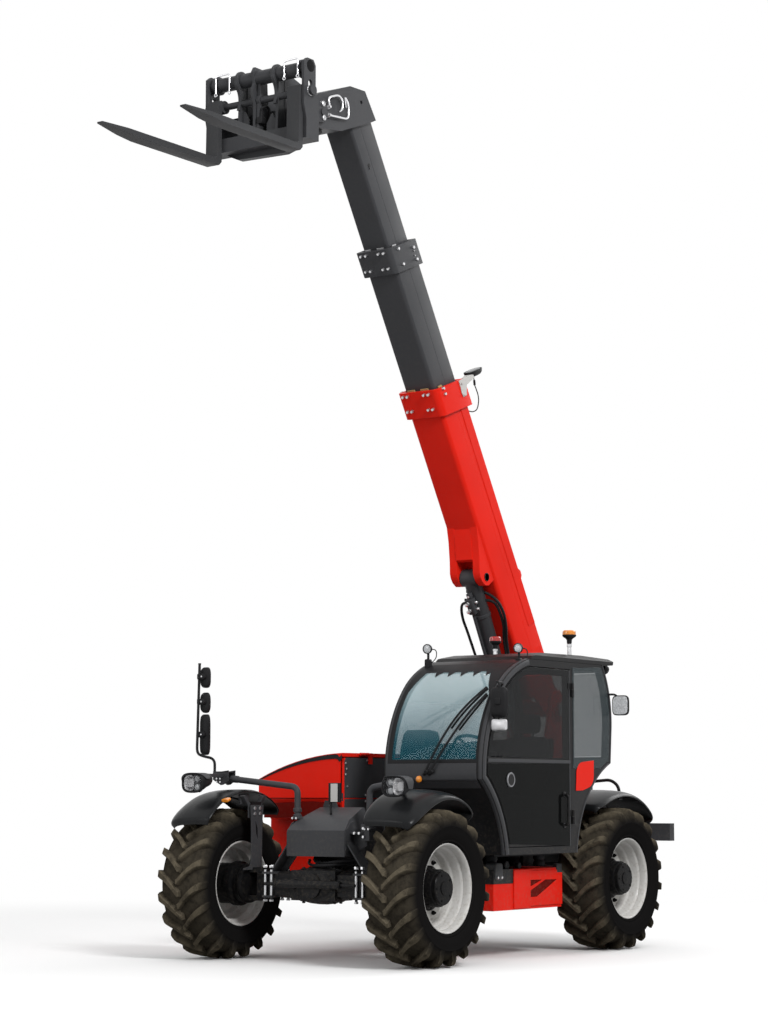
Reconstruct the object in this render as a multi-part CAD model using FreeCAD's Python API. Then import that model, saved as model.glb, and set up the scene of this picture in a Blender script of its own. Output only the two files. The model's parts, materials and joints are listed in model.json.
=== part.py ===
import FreeCAD
import Part
import math
import os
from FreeCAD import Vector as V

# Telehandler. Millimetres, +X forward, +Y to the left, +Z up, Z = 0 is the ground.
# X = 0 is half way between the rear bumper and the fork tips, Y = 0 is the centre plane.

# ---- wheels and axles
FRONT_AXLE_X = 675.0
WHEELBASE = 2770.0
REAR_AXLE_X = FRONT_AXLE_X - WHEELBASE
WHEEL_R = 590.0            # to the tips of the lugs, and the height of the hubs
LUGS = 19                  # bars on each side of the tread, the two sides half a step apart
LUG_DEPTH = 44.0
LUG_WIDTH = 48.0
LUG_OVERLAP = 8.0          # the inner ends pass the middle of the tread
LUG_ROOT = 20.0            # how far a bar reaches into the casing
LUG_SHOULDER = 34.0        # where a bar starts to fall, in from the tyre's side
LUG_FOOT_Y = 6.0
LUG_FOOT_R = 470.0
CASING = [(4.0, 450.0), (26.0, 525.0), (84.0, 551.0)]      # in from the side, and radius
TYRE_WIDTH = 460.0
WHEEL_Y = 973.0            # centre plane of a wheel
RIM_R = 318.0              # bead seat
RIM_LIP = 14.0
RIM_WIDTH = 420.0
RIM_WALL = 12.0
RIM_FLANGE = 14.0          # thickness of the lip that holds the bead
BEAD_CLEARANCE = 0.3
FLANGE_CLEARANCE = 3.0     # tyre's wall to the rim's lip
HUB_R = 105.0
KINGPIN_Y = 750.0
KINGPIN_R = 32.0
KNUCKLE_GAP = 8.0          # axle fork to knuckle
AXLE_BEAM_HALF = 560.0
AXLE_BEAM_H = 230.0
AXLE_BEAM_L = 190.0
AXLE_FORK_T = 40.0
BEAM_SHARE = 0.72          # the beam's height beside the differential
CLAMP_Y0 = 385.0
CLAMP_Y1 = 485.0
CLAMP_T = 16.0
CLAMP_ROD_R = 11.0

# ---- fenders
FENDER_R = 735.0           # crown, from the wheel's centre
FENDER_LIP = 34.0
FENDER_T = 8.0
FENDER_IN = 722.0
FENDER_OUT = 1160.0
# each axle's guards: first and last degree up from straight ahead, fall of the crown to the outer lip
FENDER_ARCS = {FRONT_AXLE_X: (44.0, 128.0, 66.0), REAR_AXLE_X: (51.0, 137.0, 30.0)}
BRACKET_IN = 80.0          # from the fender's inner edge to the bracket plate
BRACKET_T = 12.0
BRACKET_TOP = 640.0        # above the hub

# ---- boom, in its own frame: s along it from the pivot, n square to it, y across
BOOM_PIVOT_X = -2610.0
BOOM_PIVOT_Z = 2040.0
BOOM_ANGLE = 58.7
BOOM_HALF = 165.0
BOOM_BOTTOM = -300.0
BOOM_TOP = 100.0
BOOM_WALL = 12.0
BOOM_CHAMFER = 48.0
BOOM_START = 210.0         # where the closed box begins, ahead of the pivot cheeks
BOOM_FRONT = 3236.0
TAIL_R = 148.0
CHEEK_T = 28.0
CHEEK_LENGTH = 620.0
PIVOT_PIN_R = 42.0
PIN_CLEARANCE = 0.05
COLLAR_LENGTH = 260.0
COLLAR_T = 34.0
COLLAR_SLANT = 70.0        # the collars' ends lean forward at the underside
COVER_T = 14.0
COVER_HALF = 118.0

SLIDE_SIDE_GAP = 8.0       # between one boom section and the next
SLIDE_BOTTOM_GAP = 8.0
SLIDE_TOP_GAP = 18.0
PAD_CLEARANCE = 0.3
PAD_LENGTH = 120.0
EXT_WALL = 8.0
EXT1_TAIL = 1330.0
EXT1_FRONT = 4500.0
EXT1_COLLAR = 220.0
EXT1_COLLAR_T = 26.0
EXT2_TAIL = 2450.0
EXT2_FRONT = 5520.0

# ---- boom head and carriage
HEAD_T = 34.0
HEAD_PIN_S = 5775.0
HEAD_PIN_N = -665.0
HEAD_PIN_R = 30.0
CARRIAGE_GAP = 6.0
CARRIAGE_EAR_T = 32.0
CARRIAGE_X = 1400.0        # back face of the carriage's side plates
CARRIAGE_DEPTH = 190.0
CARRIAGE_HALF = 480.0
CARRIAGE_Z0 = 6250.0
CARRIAGE_Z1 = 6875.0
CARRIAGE_PLATE = 24.0
TOP_TUBE_R = 56.0
TOP_TUBE_DROP = 70.0       # tube's axis below the side plates' top
FORK_SHAFT_R = 26.0
FORK_SHAFT_X = 1512.0
FORK_SHAFT_Z = 6625.0
SHAFT_SLOT = 60.0          # room above the shaft in the end plates
FORK_Y = 392.0
FORK_WIDTH = 120.0
FORK_THICK = 50.0
FORK_TIP_T = 12.0
FORK_BLADE_Z = 6195.0
FORK_TIP_X = 2930.0
FORK_HEEL_X = 1618.0       # front face of the shank

# ---- lift cylinder
LIFT_PIN_S = 1515.0
LIFT_PIN_N = -385.0
LIFT_PIN_R = 35.0
LIFT_FOOT_X = -2560.0
LIFT_FOOT_Z = 1100.0
BARREL_R = 73.0
BARREL_BORE = 62.0
BARREL_END = 1340.0        # from the upper pin
BARREL_HEAD = 130.0
ROD_R = 45.0
ROD_START = 950.0
EYE_R = 68.0
EAR_IN = 80.0
EAR_OUT = 150.0
LIFT_SIDE_GAP = 6.0

# ---- chassis
FRAME_IN = 176.0
FRAME_T = 30.0
FRAME_Z0 = 505.0
FRAME_Z1 = 800.0
FRAME_REAR = -2790.0
FRAME_FRONT = 480.0
TOWER_R = 165.0

BOX_FRONT = 760.0
BOX_HALF = 275.0
BOX_REAR = 395.0
BOX_Z0 = 812.0
BOX_T = 12.0

WEIGHT_DEPTH = 60.0        # counterweight behind the frame
BUMPER_HALF = 1160.0
BUMPER_Z0 = 890.0
BUMPER_Z1 = 1040.0
BUMPER_DEPTH = 80.0
BUMPER_X0 = FRAME_REAR - WEIGHT_DEPTH - BUMPER_DEPTH
TOW_Z = 620.0
TOW_GAPE = 110.0
TOW_PLATE_T = 22.0
TOW_PIN_R = 16.0

STEP_Y0 = 560.0
STEP_Y1 = 955.0
STEP_GAP = 160.0           # rear tyre to the box
STEP_X0 = REAR_AXLE_X + WHEEL_R + STEP_GAP
STEP_X1 = -300.0
STEP_Z0 = 378.0
STEP_Z1 = 698.0

# ---- cab
CAB_IN = 212.0
CAB_OUT = 1130.0
CAB_WALL = 50.0
CAB_FLOOR = 818.0
CAB_WAIST = 1540.0
CAB_ROOF = 2362.0
ROOF_T = 72.0
CAB_FOOT = REAR_AXLE_X + WHEEL_R + 199.0      # lower rear corner, ahead of the rear tyre
DOOR_REAR = CAB_FOOT + 100.0
SEAT_REAR = CAB_FOOT - 84.0                   # top of the backrest
DOOR_GAP = 6.0
DOOR_T = 44.0
PILLAR = 62.0
GLASS_T = 6.0
GLASS_INSET = 10.0
HINGE_R = 14.0

# ---- engine side
HOOD_IN = -262.0
HOOD_OUT = -1108.0
HOOD_FRONT = 40.0
HOOD_REAR = REAR_AXLE_X + WHEEL_R + 175.0     # ahead of the rear tyre
HOOD_SPLIT = 1262.0
HOOD_EDGE_Z = 1415.0
HOOD_RIDGE_Z = 1622.0
HOOD_T = 16.0
HOOD_HINGE_R = 12.0
HINGE_PIN_R = 5.0
HINGE_Y = HOOD_IN + 16.0
HINGE_Z = HOOD_RIDGE_Z - 8.0
HOOD_HINGES = (HOOD_REAR + 150.0, HOOD_FRONT - 350.0)
BAY_FRONT = -90.0
BAY_FLOOR = 640.0
BAY_T = 20.0
ENGINE_REAR_GAP = 150.0
ENGINE_FRONT_GAP = 240.0
ENGINE_TOP = 1330.0
VENT_START = 350.0         # from the hood's rear end
VENT_STEP = 52.0
NOSE_DROP = 171.0          # the nose's foot below the lid's lower edge
VENT_DROP = 326.0

# ---- lamps and mirrors
ARM_R = 25.0
ARM_X = 640.0
ARM_FOOT_Y = 301.0
ARM_OUT_Y = 905.0
LAMP_X = 1010.0            # middle of the case
LAMP_Y = 946.0
LAMP_Z = 1340.0
LAMP_W = 208.0
LAMP_H = 148.0
LAMP_REAR = 95.0
LAMP_NOSE = 90.0
LAMP_NECK = 48.0           # behind this the case is narrower
LAMP_RIM = 12.0
VISOR_T = 14.0
VISOR_REACH = 35.0
POLE_R = 11.0
POLE_X = 700.0
POLE_Y = -1210.0
POLE_TOP = 2340.0
POLE_HEADS = ((1590.0, 1921.0), (1931.0, 2098.0), (2142.0, 2310.0))
MIRROR_ARM_R = 9.0
CAN_R = 40.0
CAN_DEPTH = 45.0
WORK_LAMPS = ((-394.0, 270.0, 2462.0), (-530.0, 1050.0, 2450.0))
REAR_LAMP = (-1968.0, 1035.0, 2333.0)
RED_BEACON = (-1171.0, 438.0, 50.0, 166.0)                 # x, y, radius, height
AMBER_BEACON = (-1417.0, 1008.0, 58.0, 210.0)
BOOM_LAMP_BACK = 128.0     # behind the outer boom's front end
BOOM_LAMP_RISE = 300.0     # above the boom's top
GRIP_X = DOOR_REAR + 110.0
GRIP_Z0 = 1046.0
GRIP_Z1 = 1283.0
GRIP_R = 11.0
LATCH_X = -270.0
LATCH_Z = 1402.0
LATCH_R = 56.0


# ---------------------------------------------------------------- helpers
def box(x0, x1, y0, y1, z0, z1):
    lo = V(min(x0, x1), min(y0, y1), min(z0, z1))
    return Part.makeBox(abs(x1 - x0), abs(y1 - y0), abs(z1 - z0), lo)


def soft_box(x0, x1, y0, y1, z0, z1, r):
    """A box whose four edges along X are rounded."""
    body = box(x0, x1, y0, y1, z0, z1)
    along = [e for e in body.Edges if abs(e.tangentAt(e.FirstParameter).x) > 0.9]
    return body.makeFillet(r, along)


def rod(a, b, r):
    a = V(*a)
    b = V(*b)
    return Part.makeCylinder(r, (b - a).Length, a, b - a)


def ring(a, b, r_out, r_in):
    return rod(a, b, r_out).cut(rod(a, b, r_in))


def cross_rod(x, z, y0, y1, r):
    return rod((x, y0, z), (x, y1, z), r)


def join(shapes):
    first = shapes[0]
    if len(shapes) == 1:
        return first
    return first.multiFuse(list(shapes[1:])).removeSplitter()


def polygon(points):
    return Part.Wire(Part.makePolygon([V(*p) for p in points + [points[0]]]).Edges)


def plate_xz(points, y0, y1):
    face = Part.Face(polygon([(x, y0, z) for x, z in points]))
    return face.extrude(V(0, y1 - y0, 0))


def plate_yz(points, x0, x1):
    face = Part.Face(polygon([(x0, y, z) for y, z in points]))
    return face.extrude(V(x1 - x0, 0, 0))


def plate_xy(points, z0, z1):
    face = Part.Face(polygon([(x, y, z0) for x, y in points]))
    return face.extrude(V(0, 0, z1 - z0))


def outline(segments):
    """A closed wire from segments: ('line', a, b) or ('arc', a, middle, b)."""
    edges = []
    for kind, *pts in segments:
        pts = [V(*p) for p in pts]
        if kind == "line":
            edges.append(Part.LineSegment(*pts).toShape())
        else:
            edges.append(Part.Arc(*pts).toShape())
    return Part.Wire(edges)


def bent_tube(points, r, bend):
    """A round bar along straight runs, with an arc of radius bend at each corner."""
    pts = [V(*p) for p in points]
    edges = []
    at = pts[0]
    for before, corner, after in zip(pts, pts[1:], pts[2:]):
        u = (corner - before).normalize()
        w = (after - corner).normalize()
        half = u.getAngle(w) / 2
        back = bend * math.tan(half)
        start = corner - u * back
        stop = corner + w * back
        mid_dir = (w - u).normalize()
        centre = corner + mid_dir * (bend / math.cos(half))
        middle = centre - mid_dir * bend
        edges.append(Part.LineSegment(at, start).toShape())
        edges.append(Part.Arc(start, middle, stop).toShape())
        at = stop
    edges.append(Part.LineSegment(at, pts[-1]).toShape())
    path = Part.Wire(edges)
    direction = (pts[1] - pts[0]).normalize()
    circle = Part.Wire(Part.Circle(pts[0], direction, r).toShape())
    return path.makePipeShell([circle], True, False)


def mirrored(shape):
    return shape.mirror(V(0, 0, 0), V(0, 1, 0))


def write(name, shape):
    os.makedirs("parts", exist_ok=True)
    shape.exportStep("parts/" + name + ".step")


# ---------------------------------------------------------------- boom
def on_boom(shape):
    """Carries a shape from the boom's own frame to the machine."""
    moved = shape.copy()
    moved.rotate(V(0, 0, 0), V(0, 1, 0), -BOOM_ANGLE)
    moved.translate(V(BOOM_PIVOT_X, 0, BOOM_PIVOT_Z))
    return moved


def boom_point(s, n):
    t = math.radians(BOOM_ANGLE)
    x = BOOM_PIVOT_X + s * math.cos(t) - n * math.sin(t)
    z = BOOM_PIVOT_Z + s * math.sin(t) + n * math.cos(t)
    return x, z


class Section:
    """A boom section's outline across: a box with its lower corners cut off."""

    def __init__(self, half, bottom, top, chamfer):
        self.half = half
        self.bottom = bottom
        self.top = top
        self.chamfer = chamfer

    def inset(self, side, below, above):
        cut = self.chamfer - side * (2 - math.sqrt(2))
        return Section(self.half - side, self.bottom + below, self.top - above, cut)

    def solid(self, s0, s1):
        h, b, t, c = self.half, self.bottom, self.top, self.chamfer
        k = c * 0.4
        points = [(-h, b + c), (-h + c, b), (h - c, b), (h, b + c),
                  (h, t - k), (h - k, t), (-h + k, t), (-h, t - k)]
        return plate_yz(points, s0, s1)

    def slanted(self, s0, s1, slant):
        """The same, with both ends leaning forward towards the underside."""
        block = self.solid(s0 - slant, s1 + slant)
        far = self.half + 10
        low = self.bottom - 10
        high = self.top + 10
        keep = plate_xz([(s0, low), (s1, low), (s1 - slant, high), (s0 - slant, high)],
                        -far, far)
        return block.common(keep)


OUTER = Section(BOOM_HALF, BOOM_BOTTOM, BOOM_TOP, BOOM_CHAMFER)
OUTER_IN = OUTER.inset(BOOM_WALL, BOOM_WALL, BOOM_WALL)
EXT1 = OUTER_IN.inset(SLIDE_SIDE_GAP, SLIDE_BOTTOM_GAP, SLIDE_TOP_GAP)
EXT1_IN = EXT1.inset(EXT_WALL, EXT_WALL, EXT_WALL)
EXT2 = EXT1_IN.inset(SLIDE_SIDE_GAP + 4, SLIDE_BOTTOM_GAP, SLIDE_TOP_GAP)
EXT2_IN = EXT2.inset(EXT_WALL, EXT_WALL, EXT_WALL)


def pads(carrier, host, s0):
    """Slide pads round a section's tail, filling the gap to the section outside it."""
    c = PAD_CLEARANCE
    reach = host.inset(c, c, c)
    collar = reach.solid(s0, s0 + PAD_LENGTH).cut(carrier.solid(s0 - 1, s0 + PAD_LENGTH + 1))
    slot = carrier.half * 0.55
    side = (carrier.top - carrier.bottom) * 0.28
    middle = (carrier.top + carrier.bottom) / 2
    wide = host.half + 5
    cuts = [box(s0 - 5, s0 + PAD_LENGTH + 5, -slot, slot, host.bottom - 5, host.top + 5),
            box(s0 - 5, s0 + PAD_LENGTH + 5, -wide, wide, middle - side, middle + side)]
    for shape in cuts:
        collar = collar.cut(shape)
    return collar


def outer_boom():
    tube = OUTER.solid(BOOM_START, BOOM_FRONT).cut(OUTER_IN.solid(BOOM_START + 30, BOOM_FRONT + 1))
    outer = BOOM_HALF - 1e-3
    inner = BOOM_HALF - CHEEK_T
    parts = [tube]
    tail = join([cross_rod(0, 0, -outer, outer, TAIL_R),
                 plate_xz([(0, -TAIL_R), (BOOM_START + 20, BOOM_BOTTOM + BOOM_CHAMFER),
                           (BOOM_START + 20, BOOM_TOP - 20), (0, TAIL_R)], -outer, outer)])
    tail = tail.cut(box(-TAIL_R - 1, BOOM_START, -inner, inner, -500, 500))
    parts.append(tail)
    parts.append(cross_rod(0, 0, -inner - 1, inner + 1, PIVOT_PIN_R + 28))
    # collar at the mouth
    grown = OUTER.inset(-COLLAR_T, -COLLAR_T, -COLLAR_T * 0.9)
    collar = grown.slanted(BOOM_FRONT - COLLAR_LENGTH, BOOM_FRONT, 0)
    collar = collar.cut(OUTER_IN.solid(BOOM_FRONT - COLLAR_LENGTH - 50, BOOM_FRONT + 50))
    parts.append(collar)
    parts.append(pads(EXT1.inset(-PAD_CLEARANCE, -PAD_CLEARANCE, -PAD_CLEARANCE),
                      OUTER_IN.inset(-1, -1, -1), BOOM_FRONT - PAD_LENGTH))
    # cover strip along the back
    parts.append(box(700, BOOM_FRONT - COLLAR_LENGTH - 60, -COVER_HALF, COVER_HALF,
                     BOOM_TOP - 1, BOOM_TOP + COVER_T))
    # lift ears with a plate across between them
    ear = [(1960, BOOM_BOTTOM - 2), (1630, -458), (1560, -470), (1440, -462), (1400, -400),
           (1385, BOOM_BOTTOM + 40), (1960, BOOM_BOTTOM + 40)]
    for y0, y1 in ((EAR_IN, EAR_OUT), (-EAR_OUT, -EAR_IN)):
        parts.append(plate_xz(ear, y0, y1))
    parts.append(plate_xz([(1960, BOOM_BOTTOM + 2), (1700, -410), (1668, -392), (1900, BOOM_BOTTOM + 2)],
                          -EAR_IN - 1, EAR_IN + 1))
    body = join(parts)
    body = body.cut(OUTER_IN.solid(BOOM_START + 30, BOOM_FRONT - PAD_LENGTH - 1))
    body = body.cut(cross_rod(0, 0, -400, 400, PIVOT_PIN_R + PIN_CLEARANCE))
    body = body.cut(cross_rod(LIFT_PIN_S, LIFT_PIN_N, -400, 400, LIFT_PIN_R + PIN_CLEARANCE))
    body = body.cut(rod((1800, 0, -440), (1800, 0, -340), 32))
    return on_boom(body)


def extension_1():
    tube = EXT1.solid(EXT1_TAIL, EXT1_FRONT)
    grown = EXT1.inset(-EXT1_COLLAR_T, -EXT1_COLLAR_T * 1.9, -EXT1_COLLAR_T)
    collar = grown.slanted(EXT1_FRONT - EXT1_COLLAR, EXT1_FRONT, COLLAR_SLANT)
    body = join([tube, collar])
    body = body.cut(EXT1_IN.solid(EXT1_TAIL - 1, EXT1_FRONT + 100))
    inner_pads = pads(EXT2.inset(-PAD_CLEARANCE, -PAD_CLEARANCE, -PAD_CLEARANCE),
                      EXT1_IN.inset(-1, -1, -1), EXT1_FRONT - PAD_LENGTH - COLLAR_SLANT)
    return on_boom(join([body, pads(EXT1, OUTER_IN, EXT1_TAIL), inner_pads]))


def extension_2():
    tube = EXT2.solid(EXT2_TAIL, EXT2_FRONT).cut(EXT2_IN.solid(EXT2_TAIL - 1, EXT2_FRONT + 1))
    return on_boom(join([tube, pads(EXT2, EXT1_IN, EXT2_TAIL)]))


def boom_head():
    """Two cheek plates that hook down from the boom's end, tied by plates across."""
    inner = EXT2.half
    outer = inner + HEAD_T
    profile = [(5470, 69), (5728, 44), (5830, -138), (5912, -590), (5905, -640),
               (5835, -752), (5711, -762), (5660, -700), (5553, -448), (5480, -28)]
    cheeks = [plate_xz(profile, inner, outer), plate_xz(profile, -outer, -inner)]
    front = plate_xz([(5728, 44), (5830, -138), (5890, -470), (5866, -470), (5806, -138),
                      (5716, 20)], -inner - 1, inner + 1)
    back = plate_xz([(5553, -330), (5553, -448), (5640, -652), (5662, -640), (5577, -448),
                     (5577, -330)], -inner - 1, inner + 1)
    top = plate_xz([(EXT2_FRONT + 2, 60), (5728, 44), (5716, 20), (EXT2_FRONT + 2, 36)],
                   -inner - 1, inner + 1)
    body = join(cheeks + [front, back, top])
    body = body.cut(EXT2.solid(EXT2_FRONT - 400, EXT2_FRONT))
    body = body.cut(cross_rod(HEAD_PIN_S, HEAD_PIN_N, -400, 400, HEAD_PIN_R + PIN_CLEARANCE))
    body = body.cut(cross_rod(5665, -55, -400, 400, 16))
    return on_boom(body)


# ---------------------------------------------------------------- carriage and forks
def carriage():
    px, pz = boom_point(HEAD_PIN_S, HEAD_PIN_N)
    ear_in = EXT2.half + HEAD_T + CARRIAGE_GAP
    ear_out = ear_in + CARRIAGE_EAR_T
    x0 = CARRIAGE_X
    x1 = CARRIAGE_X + CARRIAGE_DEPTH
    half = CARRIAGE_HALF
    ear = [(px - 70, pz - 20), (px - 20, pz - 72), (px + 60, pz - 90), (x0 + 60, CARRIAGE_Z0 + 20),
           (x0 + 60, CARRIAGE_Z1 - 40), (x0 - 30, CARRIAGE_Z1 - 60), (px + 120, pz + 110),
           (px + 20, pz + 72), (px - 50, pz + 50)]
    parts = [plate_xz(ear, ear_in, ear_out), plate_xz(ear, -ear_out, -ear_in)]
    parts.append(cross_rod(px, pz, -ear_out - 12, ear_out + 12, HEAD_PIN_R))
    side = [(x0, CARRIAGE_Z0), (x1 - 30, CARRIAGE_Z0), (x1 - 30, CARRIAGE_Z0 + 150),
            (x1, CARRIAGE_Z0 + 260), (x1, CARRIAGE_Z1 - 30), (x1 - 40, CARRIAGE_Z1),
            (x0 + 70, CARRIAGE_Z1), (x0 + 42, CARRIAGE_Z1 - 40), (x0 + 42, CARRIAGE_Z0 + 340),
            (x0, CARRIAGE_Z0 + 300)]
    slot_z = FORK_SHAFT_Z + SHAFT_SLOT
    for y0, y1 in ((half - CARRIAGE_PLATE, half), (-half, CARRIAGE_PLATE - half)):
        slot = join([cross_rod(FORK_SHAFT_X, slot_z, y0 - 1, y1 + 1, FORK_SHAFT_R),
                     box(FORK_SHAFT_X - FORK_SHAFT_R, FORK_SHAFT_X + FORK_SHAFT_R, y0 - 1, y1 + 1,
                         FORK_SHAFT_Z, slot_z)])
        parts.append(plate_xz(side, y0, y1).cut(slot))
    # crossbox low down, tube on top, plate between
    tube_z = CARRIAGE_Z1 - TOP_TUBE_DROP
    parts.append(box(x0, x1 - 30, -half + 4, half - 4, CARRIAGE_Z0, CARRIAGE_Z0 + 110))
    parts.append(box(x0, x0 + 30, -half + 4, half - 4, CARRIAGE_Z0, CARRIAGE_Z0 + 300))
    parts.append(cross_rod(FORK_SHAFT_X, tube_z, -half + 4, half - 4, TOP_TUBE_R))
    rib = [(x0 + 10, CARRIAGE_Z0 + 50), (x1 - 40, CARRIAGE_Z0 + 50), (x1 - 60, CARRIAGE_Z1 - 70),
           (x0 + 40, CARRIAGE_Z1 - 70)]
    for y in (-ear_out + 2, -12, ear_out - 26):
        parts.append(plate_xz(rib, y, y + 24))
    # fork shaft and the pins' nuts
    parts.append(cross_rod(FORK_SHAFT_X, FORK_SHAFT_Z, -half - 30, half + 30, FORK_SHAFT_R))
    for y0, y1 in ((half + 10, half + 34), (-half - 34, -half - 10)):
        parts.append(cross_rod(FORK_SHAFT_X, FORK_SHAFT_Z, y0, y1, FORK_SHAFT_R + 14))
    # hooks over the tube's ends
    for y in (-half + 60, half - 84):
        hook = ring((FORK_SHAFT_X, y, tube_z), (FORK_SHAFT_X, y + 24, tube_z),
                    TOP_TUBE_R + 16, TOP_TUBE_R - 2)
        parts.append(hook)
    return join(parts)


def fork(y):
    y0 = y - FORK_WIDTH / 2
    y1 = y + FORK_WIDTH / 2
    back = FORK_HEEL_X - FORK_THICK
    z = FORK_BLADE_Z
    low = z - FORK_THICK
    side = [(back, low + 30), (back + 30, low), (FORK_TIP_X - 420, low),
            (FORK_TIP_X, z - FORK_TIP_T), (FORK_TIP_X, z), (FORK_HEEL_X + 18, z),
            (FORK_HEEL_X, z + 18), (FORK_HEEL_X - 8, FORK_SHAFT_Z + 30), (back, FORK_SHAFT_Z + 40)]
    body = plate_xz(side, y0, y1)
    tip = FORK_TIP_X
    taper = [(tip - 260, y0 - 1), (tip + 1, y0 - 1), (tip + 1, y0 + 34)]
    taper_2 = [(tip - 260, y1 + 1), (tip + 1, y1 + 1), (tip + 1, y1 - 34)]
    for t in (taper, taper_2):
        body = body.cut(plate_xy(t, low - 5, z + 5))
    eye_r = FORK_SHAFT_R + 26
    eye = join([cross_rod(FORK_SHAFT_X, FORK_SHAFT_Z, y0 + 10, y1 - 10, eye_r),
                box(FORK_SHAFT_X, back + 2, y0 + 10, y1 - 10, FORK_SHAFT_Z - eye_r * 0.8,
                    FORK_SHAFT_Z + eye_r * 0.8)])
    body = join([body, eye])
    return body.cut(cross_rod(FORK_SHAFT_X, FORK_SHAFT_Z, y0 - 5, y1 + 5, FORK_SHAFT_R + 0.5))


def forks():
    return Part.makeCompound([fork(FORK_Y), fork(-FORK_Y)])


# ---------------------------------------------------------------- lift cylinder
def lift_axis():
    x, z = boom_point(LIFT_PIN_S, LIFT_PIN_N)
    length = math.hypot(x - LIFT_FOOT_X, z - LIFT_FOOT_Z)
    angle = math.degrees(math.atan2(z - LIFT_FOOT_Z, x - LIFT_FOOT_X))
    return x, z, length, angle


def along_lift(shape):
    """Carries a shape drawn downwards along +X from the upper pin."""
    x, z, length, angle = lift_axis()
    moved = shape.copy()
    moved.rotate(V(0, 0, 0), V(0, 1, 0), 180 - angle)
    moved.translate(V(x, 0, z))
    return moved


def lift_barrel():
    half = EAR_IN - LIFT_SIDE_GAP
    head = join([cross_rod(0, 0, -half, half, BARREL_R + 2), rod((0, 0, 0), (BARREL_HEAD, 0, 0), BARREL_R)])
    tube = rod((60, 0, 0), (BARREL_END, 0, 0), BARREL_R)
    pin = cross_rod(0, 0, -EAR_OUT - 8, EAR_OUT + 8, LIFT_PIN_R)
    gland = rod((BARREL_END - 80, 0, 0), (BARREL_END, 0, 0), BARREL_R + 8)
    body = join([head, tube, pin, gland])
    body = body.cut(rod((BARREL_HEAD, 0, 0), (BARREL_END - 70, 0, 0), BARREL_BORE))
    body = body.cut(rod((BARREL_HEAD, 0, 0), (BARREL_END + 5, 0, 0), ROD_R + PIN_CLEARANCE))
    return along_lift(body)


def lift_rod():
    x, z, length, angle = lift_axis()
    shaft = rod((ROD_START, 0, 0), (length - 30, 0, 0), ROD_R)
    piston = rod((ROD_START, 0, 0), (ROD_START + 70, 0, 0), BARREL_BORE - PIN_CLEARANCE)
    eye = cross_rod(length, 0, -50, 50, EYE_R)
    body = join([shaft, piston, eye]).cut(cross_rod(length, 0, -60, 60, LIFT_PIN_R))
    return along_lift(body)


# ---------------------------------------------------------------- chassis
def axle_top():
    return WHEEL_R + AXLE_BEAM_H / 2


def chassis_frame():
    px, pz = BOOM_PIVOT_X, BOOM_PIVOT_Z
    y0 = FRAME_IN
    y1 = FRAME_IN + FRAME_T
    top = axle_top()
    side = [(FRAME_REAR, top), (FRAME_REAR, 1150), (FRAME_REAR + 60, 1500), (px - TOWER_R + 6, pz - 40),
            (px - 110, pz + 122), (px, pz + TOWER_R), (px + 110, pz + 122), (px + TOWER_R, pz - 40),
            (px + 330, 1500), (px + 620, 1120), (-1500, 1010), (-400, 960), (FRAME_FRONT, 960),
            (FRAME_FRONT, top), (FRONT_AXLE_X - 420, top), (FRONT_AXLE_X - 560, FRAME_Z0),
            (REAR_AXLE_X + 420, FRAME_Z0), (REAR_AXLE_X + 260, top)]
    parts = []
    for a, b in ((y0, y1), (-y1, -y0)):
        parts.append(plate_xz(side, a, b))
        parts.append(cross_rod(px, pz, a, b + (14 if a > 0 else 0), 95) if a > 0
                     else cross_rod(px, pz, a - 14, b, 95))
    parts.append(box(REAR_AXLE_X + 430, FRONT_AXLE_X - 570, -y0 - 1, y0 + 1, FRAME_Z0, FRAME_Z0 + 25))
    parts.append(box(-2500, -2050, -y0 - 1, y0 + 1, 905, 930))
    parts.append(box(FRAME_REAR, FRAME_REAR + 30, -y0 - 1, y0 + 1, top, 1500))
    parts.append(box(-500, -470, -y0 - 1, y0 + 1, FRAME_Z0, 940))
    parts.append(box(FRAME_FRONT - 30, FRAME_FRONT, -y0 - 1, y0 + 1, top, 960))
    # ears at the lift cylinder's foot
    for a, b in ((62, 92), (-92, -62)):
        foot = plate_xz([(LIFT_FOOT_X - 90, 915), (LIFT_FOOT_X + 90, 915), (LIFT_FOOT_X + 70, 1130),
                         (LIFT_FOOT_X, 1180), (LIFT_FOOT_X - 70, 1130)], a, b)
        foot = foot.cut(cross_rod(LIFT_FOOT_X, LIFT_FOOT_Z, a - 5, b + 5, LIFT_PIN_R))
        parts.append(foot)
    parts.append(box(LIFT_FOOT_X - 110, LIFT_FOOT_X + 110, -y0 - 1, y0 + 1, 905, 930))
    # outriggers that carry the cab and the engine's bay
    for x in (-1290, -260):
        parts.append(box(x, x + 90, y1 - 1, STEP_Y0 + 120, FRAME_Z1 - 90, CAB_FLOOR))
    for x in (-1230, -200):
        parts.append(box(x, x + 90, -y1 + 1, -STEP_Y0 - 120, FRAME_Z0, BAY_FLOOR))
    body = join(parts)
    return body.cut(cross_rod(px, pz, -400, 400, PIVOT_PIN_R))


def pivot_pin():
    px, pz = BOOM_PIVOT_X, BOOM_PIVOT_Z
    reach = FRAME_IN + FRAME_T + 30
    shaft = cross_rod(px, pz, -reach, reach, PIVOT_PIN_R)
    caps = [cross_rod(px, pz, reach - 14, reach, PIVOT_PIN_R + 22),
            cross_rod(px, pz, -reach, -reach + 14, PIVOT_PIN_R + 22)]
    return join([shaft] + caps)


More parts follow.
